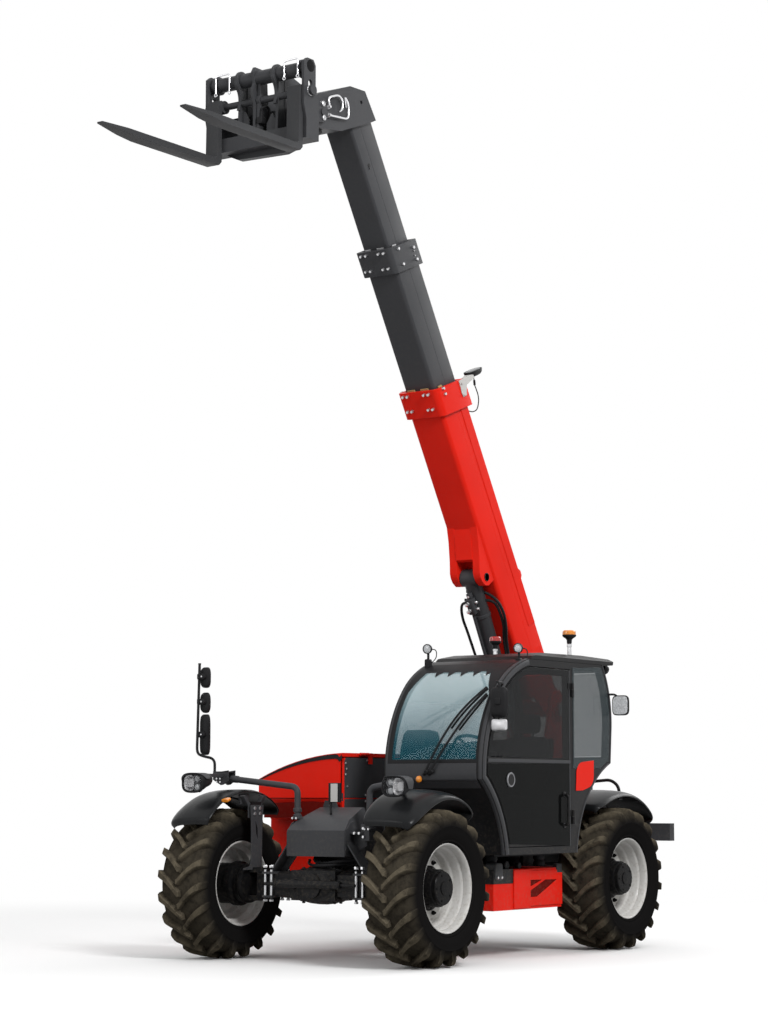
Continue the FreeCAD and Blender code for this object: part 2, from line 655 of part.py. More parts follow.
def front_box():
    x0, x1 = BOX_REAR, BOX_FRONT
    h = BOX_HALF
    outer = plate_xz([(x0, 960), (FRAME_FRONT, 960), (FRAME_FRONT, BOX_Z0), (x1, BOX_Z0), (x1, 1012),
                      (x1 - 100, 1092), (x0 + 20, 1188), (x0, 1188)], -h, h)
    side_cut = [(-h - 1, 1020), (-h - 1, 1300), (-h + 70, 1300), (-h + 70, 1190)]
    outer = outer.cut(plate_yz(side_cut, x0 - 1, x1 + 1))
    outer = outer.cut(plate_yz([(-y, z) for y, z in side_cut], x0 - 1, x1 + 1))
    inner = box(x0 - 5, x1 - BOX_T, -h + 70, h - 70, BOX_Z0 - 5, 1010)
    inner = inner.cut(box(x0 - 6, FRAME_FRONT + 30, -h, h, 700, 980))
    lug = plate_yz([(-190, 1170), (-40, 1170), (-64, 1240), (-166, 1240)], x0, x0 + 16)
    lug = lug.cut(rod((x0 - 5, -115, 1212), (x0 + 30, -115, 1212), 13))
    return join([outer.cut(inner), lug])


def axle(x):
    """Beam with a fork at each end for the knuckle's kingpin."""
    z = WHEEL_R
    h = AXLE_BEAM_H / 2
    w = AXLE_BEAM_L / 2
    beam = [box(x - w, x + w, -AXLE_BEAM_HALF, AXLE_BEAM_HALF, z - h * BEAM_SHARE, z + h * BEAM_SHARE),
            box(x - w - 20, x + w + 20, -210, 210, z - h, z + h),
            rod((x - w - 40, 0, z), (x + w + 60, 0, z), 95)]
    arm_z = 82 + KNUCKLE_GAP
    for side in (1, -1):
        y0 = side * (AXLE_BEAM_HALF - 20)
        y1 = side * (KINGPIN_Y + 42)
        beam.append(box(x - 55, x + 55, y0, y1, z + arm_z, z + arm_z + AXLE_FORK_T))
        beam.append(box(x - 55, x + 55, y0, y1, z - arm_z - AXLE_FORK_T, z - arm_z))
        beam.append(box(x - 55, x + 55, y0, side * (AXLE_BEAM_HALF + 30), z - arm_z - AXLE_FORK_T,
                        z + arm_z + AXLE_FORK_T))
    body = join(beam)
    for side in (1, -1):
        body = body.cut(rod((x, side * KINGPIN_Y, z - 200), (x, side * KINGPIN_Y, z + 200),
                            KINGPIN_R + PIN_CLEARANCE))
    return body


def axle_clamps():
    """On each side a leg from the front cover down to two plates bolted round the axle."""
    x = FRONT_AXLE_X
    half = AXLE_BEAM_H / 2 * BEAM_SHARE
    low = WHEEL_R - half
    high = WHEEL_R + half
    reach = AXLE_BEAM_L / 2 + CLAMP_ROD_R + 4
    wide = reach + CLAMP_ROD_R + 8
    solids = []
    for side in (1, -1):
        y0, y1 = side * CLAMP_Y0, side * CLAMP_Y1
        parts = [box(x - wide, x + wide, y0, y1, low - CLAMP_T, low),
                 box(x - wide, x + wide, y0, y1, high, high + CLAMP_T)]
        for rx in (-reach, reach):
            for ry in (CLAMP_Y0 + 20, CLAMP_Y1 - 20):
                parts.append(rod((x + rx, side * ry, low - CLAMP_T - 18),
                                 (x + rx, side * ry, high + CLAMP_T + 22), CLAMP_ROD_R))
        box_y, outer_y, inner_y = side * BOX_HALF, side * (CLAMP_Y1 - 30), side * (CLAMP_Y1 - 44)
        seat_z = high + CLAMP_T
        leg = plate_yz([(box_y, BOX_Z0 + 10), (box_y, BOX_Z0 + 118), (outer_y, seat_z),
                        (side * CLAMP_Y0, seat_z)], x - 66, x - 50)
        flange = plate_yz([(box_y, BOX_Z0 + 118), (box_y, BOX_Z0 + 96), (inner_y, seat_z),
                           (outer_y, seat_z)], x - 66, x + 60)
        solids.append(join(parts + [leg, flange]))
    return Part.makeCompound(solids)


def step_box():
    """Red frame below the cab: end plates, a tread and a side plate with open triangles."""
    x0, x1 = STEP_X0, STEP_X1
    side = box(x0, x1, STEP_Y1 - 24, STEP_Y1, STEP_Z0, STEP_Z1)
    left, right = x0 + 50, x0 + 490
    mid = (STEP_Z0 + STEP_Z1) / 2
    holes = [[(left, STEP_Z0 + 50), (left + 150, STEP_Z0 + 50), (left, mid - 12)],
             [(left, STEP_Z1 - 50), (left + 150, STEP_Z1 - 50), (left, mid + 12)],
             [(left + 210, STEP_Z0 + 50), (right, STEP_Z0 + 50), (right, mid - 12)],
             [(left + 210, STEP_Z1 - 50), (right, STEP_Z1 - 50), (right, mid + 12)]]
    for hole in holes:
        side = side.cut(plate_xz(hole, STEP_Y1 - 30, STEP_Y1 + 6))
    parts = [side, box(x0, x1, STEP_Y0, STEP_Y1 - 2, STEP_Z0, STEP_Z0 + 20),
             box(x0, x1, STEP_Y0, STEP_Y1 - 2, STEP_Z1 - 20, STEP_Z1)]
    parts.append(box(x0, x1, STEP_Y0, STEP_Y0 + 16, STEP_Z0, STEP_Z1))
    for x in (x0, x0 + 520, x1 - 20):
        parts.append(box(x, x + 20, STEP_Y0, STEP_Y1 - 2, STEP_Z0, STEP_Z1))
    reach = FRAME_IN + FRAME_T
    for x in (x0 + 105, x1 - 200):
        parts.append(box(x, x + 80, reach, STEP_Y0 + 2, STEP_Z0 + 150, STEP_Z0 + 230))
    return join(parts)


def rear_body():
    """Counterweight behind the towers' feet, with the bumper bar, a tow jaw and a rail."""
    x0 = BUMPER_X0 + BUMPER_DEPTH
    x1 = FRAME_REAR
    reach = FRAME_IN + FRAME_T
    weight = box(x0, x1, -700, 700, 560, 1250)
    wings = [box(x1 - 1, x1 + 180, side * reach, side * 420, 800, 1330) for side in (1, -1)]
    bar = box(BUMPER_X0, x0, -BUMPER_HALF, BUMPER_HALF, BUMPER_Z0, BUMPER_Z1)
    jaw = [box(BUMPER_X0 + 4, x0, -70, 70, z, z + TOW_PLATE_T) for z in (TOW_Z, TOW_Z + TOW_GAPE)]
    rail = bent_tube([(x1 + 90, 400, 1310), (x1 + 90, 400, 1400), (x1 + 90, 270, 1400),
                      (x1 + 90, 270, 1310)], 14, 40)
    body = join([weight, bar] + wings + jaw + [rail])
    tow_x = x0 - 42
    return body.cut(rod((tow_x, 0, TOW_Z - 10), (tow_x, 0, TOW_Z + TOW_GAPE + 100), TOW_PIN_R))


def hood_profile(inset):
    """Outline across the hood: straight sides under an arched top."""
    y0 = HOOD_IN - inset
    y1 = HOOD_OUT + inset
    ridge = HOOD_RIDGE_Z - inset
    edge = HOOD_EDGE_Z - inset * 0.8
    return y0, y1, ridge, edge


def hood_block(inset, x0, x1, bottom):
    y0, y1, ridge, edge = hood_profile(inset)
    middle = (y0 + (y1 - y0) * 0.52, edge + (ridge - edge) * 0.70)
    wire = outline([("line", (x0, y0, bottom), (x0, y0, ridge)),
                    ("arc", (x0, y0, ridge), (x0, middle[0], middle[1]), (x0, y1, edge)),
                    ("line", (x0, y1, edge), (x0, y1, bottom)),
                    ("line", (x0, y1, bottom), (x0, y0, bottom))])
    return Part.Face(wire).extrude(V(x1 - x0, 0, 0))


def hood_lid():
    """Arched cover with its outer side and both ends, open below and towards the boom."""
    shell = hood_block(0, HOOD_REAR, HOOD_FRONT, HOOD_SPLIT)
    shell = shell.cut(hood_block(HOOD_T, HOOD_REAR + HOOD_T, HOOD_FRONT - HOOD_T, HOOD_SPLIT - 5))
    shell = shell.cut(box(HOOD_REAR - 1, HOOD_FRONT + 1, HOOD_IN + 1, HOOD_IN - BAY_T - 6,
                          HOOD_SPLIT - 5, HOOD_RIDGE_Z - 30))
    parts = [shell]
    for x in HOOD_HINGES:
        parts.append(rod((x, HINGE_Y, HINGE_Z), (x + 120, HINGE_Y, HINGE_Z), HOOD_HINGE_R))
        parts.append(box(x, x + 120, HOOD_IN - 10, HINGE_Y, HINGE_Z - 8, HINGE_Z + 8))
    body = join(parts)
    for x in HOOD_HINGES:
        pin = rod((x - 5, HINGE_Y, HINGE_Z), (x + 125, HINGE_Y, HINGE_Z), HINGE_PIN_R + PIN_CLEARANCE)
        body = body.cut(pin)
    return body


def engine_bay():
    """Tub below the lid with a dark wall towards the boom."""
    x0, x1 = HOOD_REAR, BAY_FRONT
    y1 = HOOD_OUT + 30
    top = HOOD_SPLIT - 6
    wall_in = HOOD_IN
    tub = box(x0, x1, wall_in, y1, BAY_FLOOR, top)
    tub = tub.cut(box(x0 + BAY_T, x1 - BAY_T, wall_in - BAY_T, y1 + BAY_T, BAY_FLOOR + BAY_T, top + 5))
    wall = box(x0, HOOD_FRONT - HOOD_T - 6, wall_in - BAY_T, wall_in, BAY_FLOOR + 300, HOOD_RIDGE_Z - 40)
    nose = plate_xz([(x1 - 2, top - NOSE_DROP), (x1 + 90, top - NOSE_DROP + 95),
                     (HOOD_FRONT - 8, top), (x1 - 2, top)],
                    y1, wall_in - BAY_T)
    parts = [tub, wall, nose]
    for x in HOOD_HINGES:
        parts.append(box(x - 34, x - 6, wall_in, HINGE_Y + 14, HINGE_Z - 80, HOOD_RIDGE_Z - 40))
        parts.append(box(x - 34, x - 6, wall_in + 6, HINGE_Y + 14, HOOD_RIDGE_Z - 42, HINGE_Z + 9))
        parts.append(rod((x - 30, HINGE_Y, HINGE_Z), (x + 118, HINGE_Y, HINGE_Z), HINGE_PIN_R))
    for i in range(9):
        slot_x = HOOD_REAR + VENT_START + i * VENT_STEP
        slot = box(slot_x, slot_x + 26, y1 - 2, y1 + 14, top - VENT_DROP, top - VENT_DROP + 250)
        parts[0] = parts[0].cut(slot)
    return join(parts)


def engine():
    """The engine and what is bolted to it, as one plain mass."""
    return box(HOOD_REAR + ENGINE_REAR_GAP, BAY_FRONT - ENGINE_FRONT_GAP, HOOD_IN - 90, HOOD_OUT + 150,
               BAY_FLOOR + BAY_T, ENGINE_TOP)


# ---------------------------------------------------------------- cab
def cab_outline(y, grow):
    """Side view of the cab, grown outwards by grow."""
    top = CAB_ROOF
    wire = outline([
        ("line", (CAB_FOOT, y, CAB_FLOOR), (-203, y, CAB_FLOOR)),
        ("arc", (-203, y, CAB_FLOOR), (-112, y, 1120), (128, y, 1408)),
        ("arc", (128, y, 1408), (70, y, 1790), (-172, y, 2168)),
        ("arc", (-172, y, 2168), (-330, y, 2278), (-560, y, top)),
        ("line", (-560, y, top), (-1752, y, top)),
        ("arc", (-1752, y, top), (-1862, y, 2120), (-1892, y, 1850)),
        ("line", (-1892, y, 1850), (-1868, y, 1548)),
        ("arc", (-1868, y, 1548), (CAB_FOOT - 214, y, 1306), (CAB_FOOT, y, CAB_FLOOR))])
    if grow == 0:
        return wire
    return wire.makeOffset2D(grow, 2, False, False, False)


def cab_block(grow, y0, y1):
    face = Part.Face(cab_outline(y0, grow))
    return face.extrude(V(0, y1 - y0, 0))


def door_region(grow, y0, y1):
    """The door's outline as a prism: the cab's side behind the front pillar."""
    block = cab_block(-PILLAR + grow, y0, y1)
    low = CAB_FLOOR + CAB_WALL - grow
    keep = box(DOOR_REAR - grow, 400, y0, y1, low, CAB_ROOF - 40 + grow)
    return block.common(keep)


def quarter_region(grow, y0, y1):
    block = cab_block(-PILLAR + grow, y0, y1)
    keep = box(-2100, DOOR_REAR - 70 + grow, y0, y1, CAB_WAIST + 40 - grow, CAB_ROOF)
    return block.common(keep)


def front_region():
    return box(-600, 400, CAB_IN + PILLAR, CAB_OUT - PILLAR, CAB_WAIST, CAB_ROOF - 40)


def rear_region():
    return box(-2100, -1700, CAB_IN + PILLAR, CAB_OUT - PILLAR, CAB_WAIST + 60, CAB_ROOF - 60)


def right_region():
    block = cab_block(-PILLAR, CAB_IN - 5, CAB_IN + CAB_WALL + 5)
    return block.common(box(-2100, 400, CAB_IN - 5, CAB_IN + CAB_WALL + 5, CAB_WAIST + 40, CAB_ROOF))


def cab_shell():
    body = cab_block(0, CAB_IN, CAB_OUT)
    body = body.cut(cab_block(-CAB_WALL, CAB_IN + CAB_WALL, CAB_OUT - CAB_WALL))
    body = body.cut(door_region(DOOR_GAP, CAB_OUT - CAB_WALL - 5, CAB_OUT + 5))
    body = body.cut(quarter_region(0, CAB_OUT - CAB_WALL - 5, CAB_OUT + 5))
    body = body.cut(front_region())
    body = body.cut(rear_region())
    body = body.cut(right_region())
    hinges = []
    for z in (1050, 2080):
        foot = (DOOR_REAR - 20, CAB_OUT + HINGE_R, z)
        hinges.append(rod(foot, (DOOR_REAR - 20, CAB_OUT + HINGE_R, z + 60), HINGE_R))
        hinges.append(box(DOOR_REAR - 60, DOOR_REAR - 20, CAB_OUT - 2, CAB_OUT + 8, z, z + 60))
    return join([body] + hinges)


def skin(region):
    """A pane that fills a window opening just inside the cab's face."""
    outer = cab_block(-GLASS_INSET, CAB_IN + 1, CAB_OUT - 1)
    inner = cab_block(-GLASS_INSET - GLASS_T, CAB_IN - 5, CAB_OUT + 5)
    return outer.cut(inner).common(region)


def side_pane(region, y):
    return region.common(box(-2200, 500, y, y + GLASS_T, 0, 3000))


def cab_glass():
    panes = [skin(front_region()), skin(rear_region())]
    panes.append(side_pane(right_region(), CAB_IN + GLASS_INSET))
    panes.append(side_pane(quarter_region(0, CAB_OUT - CAB_WALL, CAB_OUT + 5),
                           CAB_OUT - GLASS_INSET - GLASS_T))
    solids = []
    for pane in panes:
        solids.extend(pane.Solids)
    return Part.makeCompound(solids)


def cab_roof():
    y0, y1 = CAB_IN - 2, CAB_OUT - 2
    side = [(-1938, CAB_ROOF + 6), (-1948, CAB_ROOF + 40), (-1925, CAB_ROOF + 58),
            (-1500, CAB_ROOF + ROOF_T), (-820, CAB_ROOF + ROOF_T - 8), (-640, CAB_ROOF + 30),
            (-600, CAB_ROOF), (-1752, CAB_ROOF)]
    body = plate_xz(side, y0, y1)
    for y, s in ((y0, 1), (y1, -1)):
        corner = [(y - s, CAB_ROOF + 36), (y - s, CAB_ROOF + 100), (y + s * 60, CAB_ROOF + 100),
                  (y + s * 60, CAB_ROOF + ROOF_T)]
        body = body.cut(plate_yz(corner, -2000, -500))
    return body


def door_frame():
    y0, y1 = CAB_OUT - DOOR_T, CAB_OUT
    body = door_region(0, y0, y1)
    body = body.cut(door_glass_region(True, y0 - 5, y1 + 5))
    body = body.cut(door_glass_region(False, y0 - 5, y1 + 5))
    parts = [body]
    for z in (1050, 2080):
        foot = (DOOR_REAR - 20, CAB_OUT + HINGE_R, z + 62)
        parts.append(rod(foot, (DOOR_REAR - 20, CAB_OUT + HINGE_R, z + 112), HINGE_R))
        parts.append(box(DOOR_REAR - 20, DOOR_REAR + 40, CAB_OUT + 1, CAB_OUT + 8, z + 62, z + 112))
        parts.append(box(DOOR_REAR + 5, DOOR_REAR + 40, CAB_OUT - 1, CAB_OUT + 8, z + 62, z + 112))
    # grip on two straps from the rear stile, and the latch's ring on the lower pane
    parts.append(bent_tube([(GRIP_X, CAB_OUT - 5, GRIP_Z0), (GRIP_X, CAB_OUT + 45, GRIP_Z0),
                            (GRIP_X, CAB_OUT + 45, GRIP_Z1), (GRIP_X, CAB_OUT - 5, GRIP_Z1)], GRIP_R, 20))
    for z in (GRIP_Z0, GRIP_Z1):
        parts.append(box(DOOR_REAR + 20, GRIP_X + 18, CAB_OUT - 8, CAB_OUT + 2, z - 18, z + 18))
    parts.append(cross_rod(LATCH_X, LATCH_Z, CAB_OUT - GLASS_INSET, CAB_OUT + 14, LATCH_R))
    return join(parts)


def door_glass_region(upper, y0, y1):
    block = cab_block(-PILLAR - 52, y0, y1)
    if upper:
        keep = box(DOOR_REAR + 52, 400, y0, y1, CAB_WAIST + 36, CAB_ROOF - 92)
    else:
        keep = box(DOOR_REAR + 52, 400, y0, y1, CAB_FLOOR + CAB_WALL + 60, CAB_WAIST - 30)
    return block.common(keep)


def door_glass():
    y = CAB_OUT - GLASS_INSET - GLASS_T
    upper = side_pane(door_glass_region(True, CAB_OUT - DOOR_T, CAB_OUT), y)
    lower = side_pane(door_glass_region(False, CAB_OUT - DOOR_T, CAB_OUT), y)
    return Part.makeCompound(upper.Solids + lower.Solids)


def seat():
    cy = (CAB_IN + CAB_OUT) / 2
    floor = CAB_FLOOR + CAB_WALL
    x = SEAT_REAR
    base = box(x + 130, x + 460, cy - 170, cy + 170, floor, floor + 380)
    cushion = box(x + 60, x + 560, cy - 245, cy + 245, floor + 380, floor + 500)
    back = plate_xz([(x + 60, floor + 430), (x + 190, floor + 430), (x + 100, floor + 1120),
                     (x, floor + 1120)], cy - 235, cy + 235)
    return join([base, cushion, back])


def console():
    cy = (CAB_IN + CAB_OUT) / 2
    floor = CAB_FLOOR + CAB_WALL
    dash = plate_xz([(-420, floor), (-250, floor), (-60, 1440), (-90, 1500), (-330, 1500), (-400, 1300)],
                    cy - 190, cy + 190)
    dash = dash.common(cab_block(-CAB_WALL, cy - 200, cy + 200))
    column = rod((-330, cy, 1420), (-490, cy, 1600), 32)
    wheel_at = V(-490, cy, 1600)
    lean = (V(-490, cy, 1600) - V(-330, cy, 1420)).normalize()
    wheel = Part.makeTorus(170, 15, wheel_at, lean)
    hub = Part.makeCylinder(45, 30, wheel_at - lean * 15, lean)
    spokes = [rod(tuple(wheel_at), tuple(wheel_at + d * 165), 11)
              for d in (V(0, 1, 0), V(0, -1, 0), lean.cross(V(0, 1, 0)))]
    return join([dash, column, wheel, hub] + spokes)


# ---------------------------------------------------------------- lamps and mirrors
def lamp_arms():
    parts = []
    for side in (1, -1):
        foot = side * ARM_FOOT_Y
        parts.append(bent_tube([(ARM_X, foot, 970), (ARM_X, foot, 1342), (ARM_X, side * ARM_OUT_Y, 1420)],
                               ARM_R, 70))
        parts.append(box(ARM_X - 32, ARM_X + 32, side * (ARM_FOOT_Y + 26), side * BOX_HALF, 945, 1000))
        parts.append(box(ARM_X - 40, ARM_X + 60, side * (ARM_OUT_Y - 20), side * (ARM_OUT_Y + 170),
                         1372, 1480))
        parts.append(box(ARM_X + 55, LAMP_X - LAMP_REAR, side * (ARM_OUT_Y + 20), side * (ARM_OUT_Y + 60),
                         1366, 1436))
    return join(parts[:4]), join(parts[4:])


def lamp_arm_node():
    left, right = lamp_arms()
    return Part.makeCompound(left.Solids + right.Solids)


def headlights():
    """Two cases with rounded corners, each narrower behind and with a brow over its lens."""
    solids = []
    for side in (1, -1):
        y = side * LAMP_Y
        wide, high = LAMP_W / 2, LAMP_H / 2
        rear, nose = LAMP_X - LAMP_REAR, LAMP_X + LAMP_NOSE
        # the underside rises to the back, clear of the guard when the wheel is turned
        belly = [(rear, LAMP_Z - 14), (LAMP_X, LAMP_Z - 40), (LAMP_X + 56, LAMP_Z - 66),
                 (nose, LAMP_Z - high), (nose, LAMP_Z + high), (rear, LAMP_Z + high)]
        under = plate_xz(belly, y - wide, y + wide)
        neck = soft_box(rear, LAMP_X - LAMP_NECK + 2, y - wide * 0.66, y + wide * 0.66,
                        LAMP_Z - high, LAMP_Z + high * 0.78, wide * 0.25)
        case = soft_box(LAMP_X - LAMP_NECK, nose, y - wide, y + wide, LAMP_Z - high, LAMP_Z + high,
                        wide * 0.32)
        pocket = soft_box(nose - LAMP_RIM, nose + 5, y - wide + LAMP_RIM, y + wide - LAMP_RIM,
                          LAMP_Z - high + LAMP_RIM, LAMP_Z + high - LAMP_RIM, wide * 0.25)
        brow = box(LAMP_X - LAMP_NECK, LAMP_X + LAMP_NOSE + VISOR_REACH, y - wide * 0.86, y + wide * 0.86,
                   LAMP_Z + high - 2, LAMP_Z + high - 2 + VISOR_T)
        solids.append(join([neck.common(under), case.common(under).cut(pocket), brow]))
    return Part.makeCompound(solids)


def mirror_pole():
    """Tall pole on the right lamp arm, with three heads that face back."""
    foot_x, foot_y = ARM_X + 20, -ARM_OUT_Y - 150
    parts = [bent_tube([(foot_x, foot_y, 1480), (foot_x, foot_y, 1590), (POLE_X, POLE_Y, 1600),
                        (POLE_X, POLE_Y, POLE_TOP)], POLE_R, 45)]
    for z0, z1 in POLE_HEADS:
        middle = (z0 + z1) / 2
        parts.append(soft_box(POLE_X - 58, POLE_X - 14, POLE_Y + 1, POLE_Y + 95, z0, z1, 30))
        parts.append(box(POLE_X - 20, POLE_X + 16, POLE_Y - 20, POLE_Y + 14, middle - 24, middle + 24))
    return join(parts)


def mirrors():
    """The pole's heads, the door-side mirror over its small low one, and the one behind the cab."""
    front = bent_tube([(-124, CAB_OUT - 12, 2112), (-108, CAB_OUT + 50, 2150), (40, CAB_OUT + 70, 2160),
                       (52, CAB_OUT + 110, 2150), (52, CAB_OUT + 110, 2010)], MIRROR_ARM_R, 12)
    parts = [front, soft_box(26, 73, CAB_OUT + 24, CAB_OUT + 180, 1877, 2113, 30),
             soft_box(30, 56, CAB_OUT + 30, CAB_OUT + 170, 1776, 1868, 24),
             box(40, 52, CAB_OUT + 90, CAB_OUT + 108, 1860, 1885)]
    rear = bent_tube([(-1832, CAB_OUT, 2120), (-1832, CAB_OUT + 38, 2120), (-1884, CAB_OUT + 54, 2120),
                      (-1890, CAB_OUT + 92, 2070)], MIRROR_ARM_R, 10)
    rear_head = soft_box(-1918, -1873, CAB_OUT + 17, CAB_OUT + 173, 1946, 2114, 28)
    left = join(parts).cut(cab_block(0, CAB_IN, CAB_OUT))
    return Part.makeCompound([mirror_pole(), left, join([rear, rear_head])])


def beacon(x, y, r, height):
    """A stalk on the roof with a bowl and its lens."""
    z = CAB_ROOF + ROOF_T
    return join([rod((x, y, z - 30), (x, y, z + height - 70), 16),
                 rod((x, y, z + height - 72), (x, y, z + height - 52), r),
                 rod((x, y, z + height - 54), (x, y, z + height), r - 4)])


def lamps():
    """Work lamps and beacons on the cab's roof."""
    parts = []
    for x, y, z in WORK_LAMPS:
        parts.append(join([rod((x - CAN_DEPTH, y, z), (x, y, z), CAN_R),
                           rod((x - 20, y, z - 25), (x - 20, y, z - 105), 10),
                           box(x - 45, x + 5, y - 22, y + 22, z - 165, z - 80)]))
    parts.append(beacon(*RED_BEACON))
    parts.append(beacon(*AMBER_BEACON))
    x, y, z = REAR_LAMP
    parts.append(join([rod((x, y, z), (x + 62, y, z + 18), CAN_R),
                       box(x + 6, x + 43, y - 30, y + 30, z + 20, z + 67)]))
    # each is let down to what lies under it
    below = [cab_roof(), cab_block(0, CAB_IN, CAB_OUT)]
    return Part.makeCompound([part.cut(below) for part in parts])


def boom_lamp():
    """Work lamp on a bracket that stands on the boom's front collar."""
    s = BOOM_FRONT - BOOM_LAMP_BACK
    n = BOOM_TOP + BOOM_LAMP_RISE
    y = BOOM_HALF - 36
    top = BOOM_TOP + COLLAR_T * 0.9
    strap = [(s - 118, top), (s - 68, top), (s + 14, n - 138), (s + 14, n - 30), (s - 16, n - 30),
             (s - 16, n - 124)]
    bracket = plate_xz(strap, y - 5, y + 5)
    foot = box(s - 118, s - 60, y - 26, y + 26, top, top + 8)
    can = rod((s - 42, y, n - 4), (s + 42, y, n + 4), CAN_R + 4)
    return on_boom(join([bracket, foot, can]))


# ---------------------------------------------------------------- running gear
def flat_sided(profile, sides):
    """A closed (y, radius) profile carried round the Y axis in straight steps."""
    step = 2 * math.pi / sides
    faces = []
    for i in range(sides):
        for (y0, r0), (y1, r1) in zip(profile, profile[1:] + profile[:1]):
            corners = [(r0, y0, i), (r1, y1, i), (r1, y1, i + 1), (r0, y0, i + 1)]
            turned = [(r * math.cos(k * step), y, r * math.sin(k * step)) for r, y, k in corners]
            faces.append(Part.Face(polygon(turned)))
    shell = Part.Shell(faces)
    shell.sewShape()
    return Part.Solid(shell)


def lug(tip_r):
    """One bar below the wheel's axle; its outer end lies as far round as the next bar's inner end."""
    half_turn = math.pi / LUGS
    reach = tip_r * math.sin(half_turn)
    top = tip_r * math.cos(half_turn)
    shoulder = TYRE_WIDTH / 2 - LUG_SHOULDER
    section = [(-LUG_OVERLAP, LUG_DEPTH + LUG_ROOT - tip_r), (-LUG_OVERLAP, -top), (shoulder, -top),
               (TYRE_WIDTH / 2 - LUG_FOOT_Y, -LUG_FOOT_R)]
    lean = (2 * reach - LUG_WIDTH) / (shoulder + LUG_OVERLAP)
    points = [(lean * (y + LUG_OVERLAP) - reach, y, z) for y, z in section]
    bar = Part.Face(polygon(points)).extrude(V(LUG_WIDTH, 0, 0))
    bar.rotate(V(0, 0, 0), V(0, 1, 0), math.degrees(half_turn))
    return bar


def tyre(x, side):
    """A casing of flat facets joined with a ring of slanted bars on each side."""
    quarter = math.pi / 2 / LUGS
    tip_r = WHEEL_R / math.cos(quarter)
    seat_r = (RIM_R + BEAD_CLEARANCE) / math.cos(math.pi / LUGS)
    bead = RIM_WIDTH / 2 - RIM_FLANGE - BEAD_CLEARANCE - FLANGE_CLEARANCE
    half = [(bead, seat_r)] + [(TYRE_WIDTH / 2 - inset, r) for inset, r in CASING]
    casing = flat_sided(half + [(-y, r) for y, r in reversed(half)], LUGS)
    casing.rotate(V(0, 0, 0), V(0, 1, 0), math.degrees(quarter))
    parts = [casing]
    for hand in (1, -1):
        bar = lug(tip_r) if hand > 0 else mirrored(lug(tip_r))
        for i in range(LUGS):
            copy = bar.copy()
            copy.rotate(V(0, 0, 0), V(0, 1, 0), math.degrees((4 * i + hand) * quarter))
            parts.append(copy)
    body = join(parts)
    if side < 0:
        body = mirrored(body)
    body.translate(V(x, side * WHEEL_Y, WHEEL_R))
    return body


def rim(x, side):
    """Drop-centre rim with a dished disc and the planetary hub."""
    w = RIM_WIDTH / 2
    r = RIM_R
    t = RIM_WALL
    points = [(-w, r + RIM_LIP), (-w + 12, r + RIM_LIP), (-w + 14, r), (-w + 90, r), (-w + 120, r - 26),
              (w - 120, r - 26), (w - 90, r), (w - 14, r), (w - 12, r + RIM_LIP), (w, r + RIM_LIP),
              (w, r - t), (w - 84, r - t), (w - 114, r - 26 - t), (-w + 114, r - 26 - t), (-w + 84, r - t),
              (-w, r - t)]
    barrel = Part.Face(polygon([(0, y, z) for y, z in points])).revolve(V(0, 0, 0), V(0, 1, 0), 360)
    disc = [(20, r - 30), (34, r - 30), (50, 190), (50, 0), (36, 0), (36, 186)]
    plate = Part.Face(polygon([(0, y, z) for y, z in disc])).revolve(V(0, 0, 0), V(0, 1, 0), 360)
    hub = join([cross_rod(0, 0, 30, 120, HUB_R), cross_rod(0, 0, 115, 160, HUB_R * 0.72)])
    spindle = cross_rod(0, 0, -110, 40, 70)
    body = join([barrel, plate, hub, spindle])
    body = body.cut(cross_rod(0, 0, -115, 0, 40 + PIN_CLEARANCE))
    if side < 0:
        body = mirrored(body)
    body.translate(V(x, side * WHEEL_Y, WHEEL_R))
    return body


def knuckle(x, side):
    """Housing on the kingpin, with the wheel's stub and the fender's bracket."""
    z = WHEEL_R
    y = KINGPIN_Y
    parts = [rod((x, y, z - 82), (x, y, z + 82), 62),
             rod((x, y, z - 82 - KNUCKLE_GAP - AXLE_FORK_T - 10),
                 (x, y, z + 82 + 2 * KNUCKLE_GAP + AXLE_FORK_T + 4), KINGPIN_R),
             cross_rod(x, z, y, WHEEL_Y - 112, 78),
             cross_rod(x, z, WHEEL_Y - 114, WHEEL_Y - 4, 40)]
    # fender bracket: a shelf on the kingpin's head and a plate that rises from it
    inner = FENDER_IN - BRACKET_IN
    shelf = z + 82 + KNUCKLE_GAP + AXLE_FORK_T + KNUCKLE_GAP
    parts.append(box(x - 60, x + 60, inner, y + 50, shelf, shelf + 16))
    top = z + BRACKET_TOP
    lean = [(x - 70, shelf), (x + 70, shelf), (x + 42, shelf + 150), (x + 42, top - 110),
            (x + 64, top), (x - 64, top), (x - 42, top - 110), (x - 42, shelf + 150)]
    plate = plate_xz(lean, inner, inner + BRACKET_T)
    parts.append(plate.cut(box(x - 12, x + 12, inner - 5, inner + BRACKET_T + 5, top - 260, top - 130)))
    return join(parts) if side > 0 else mirrored(join(parts))


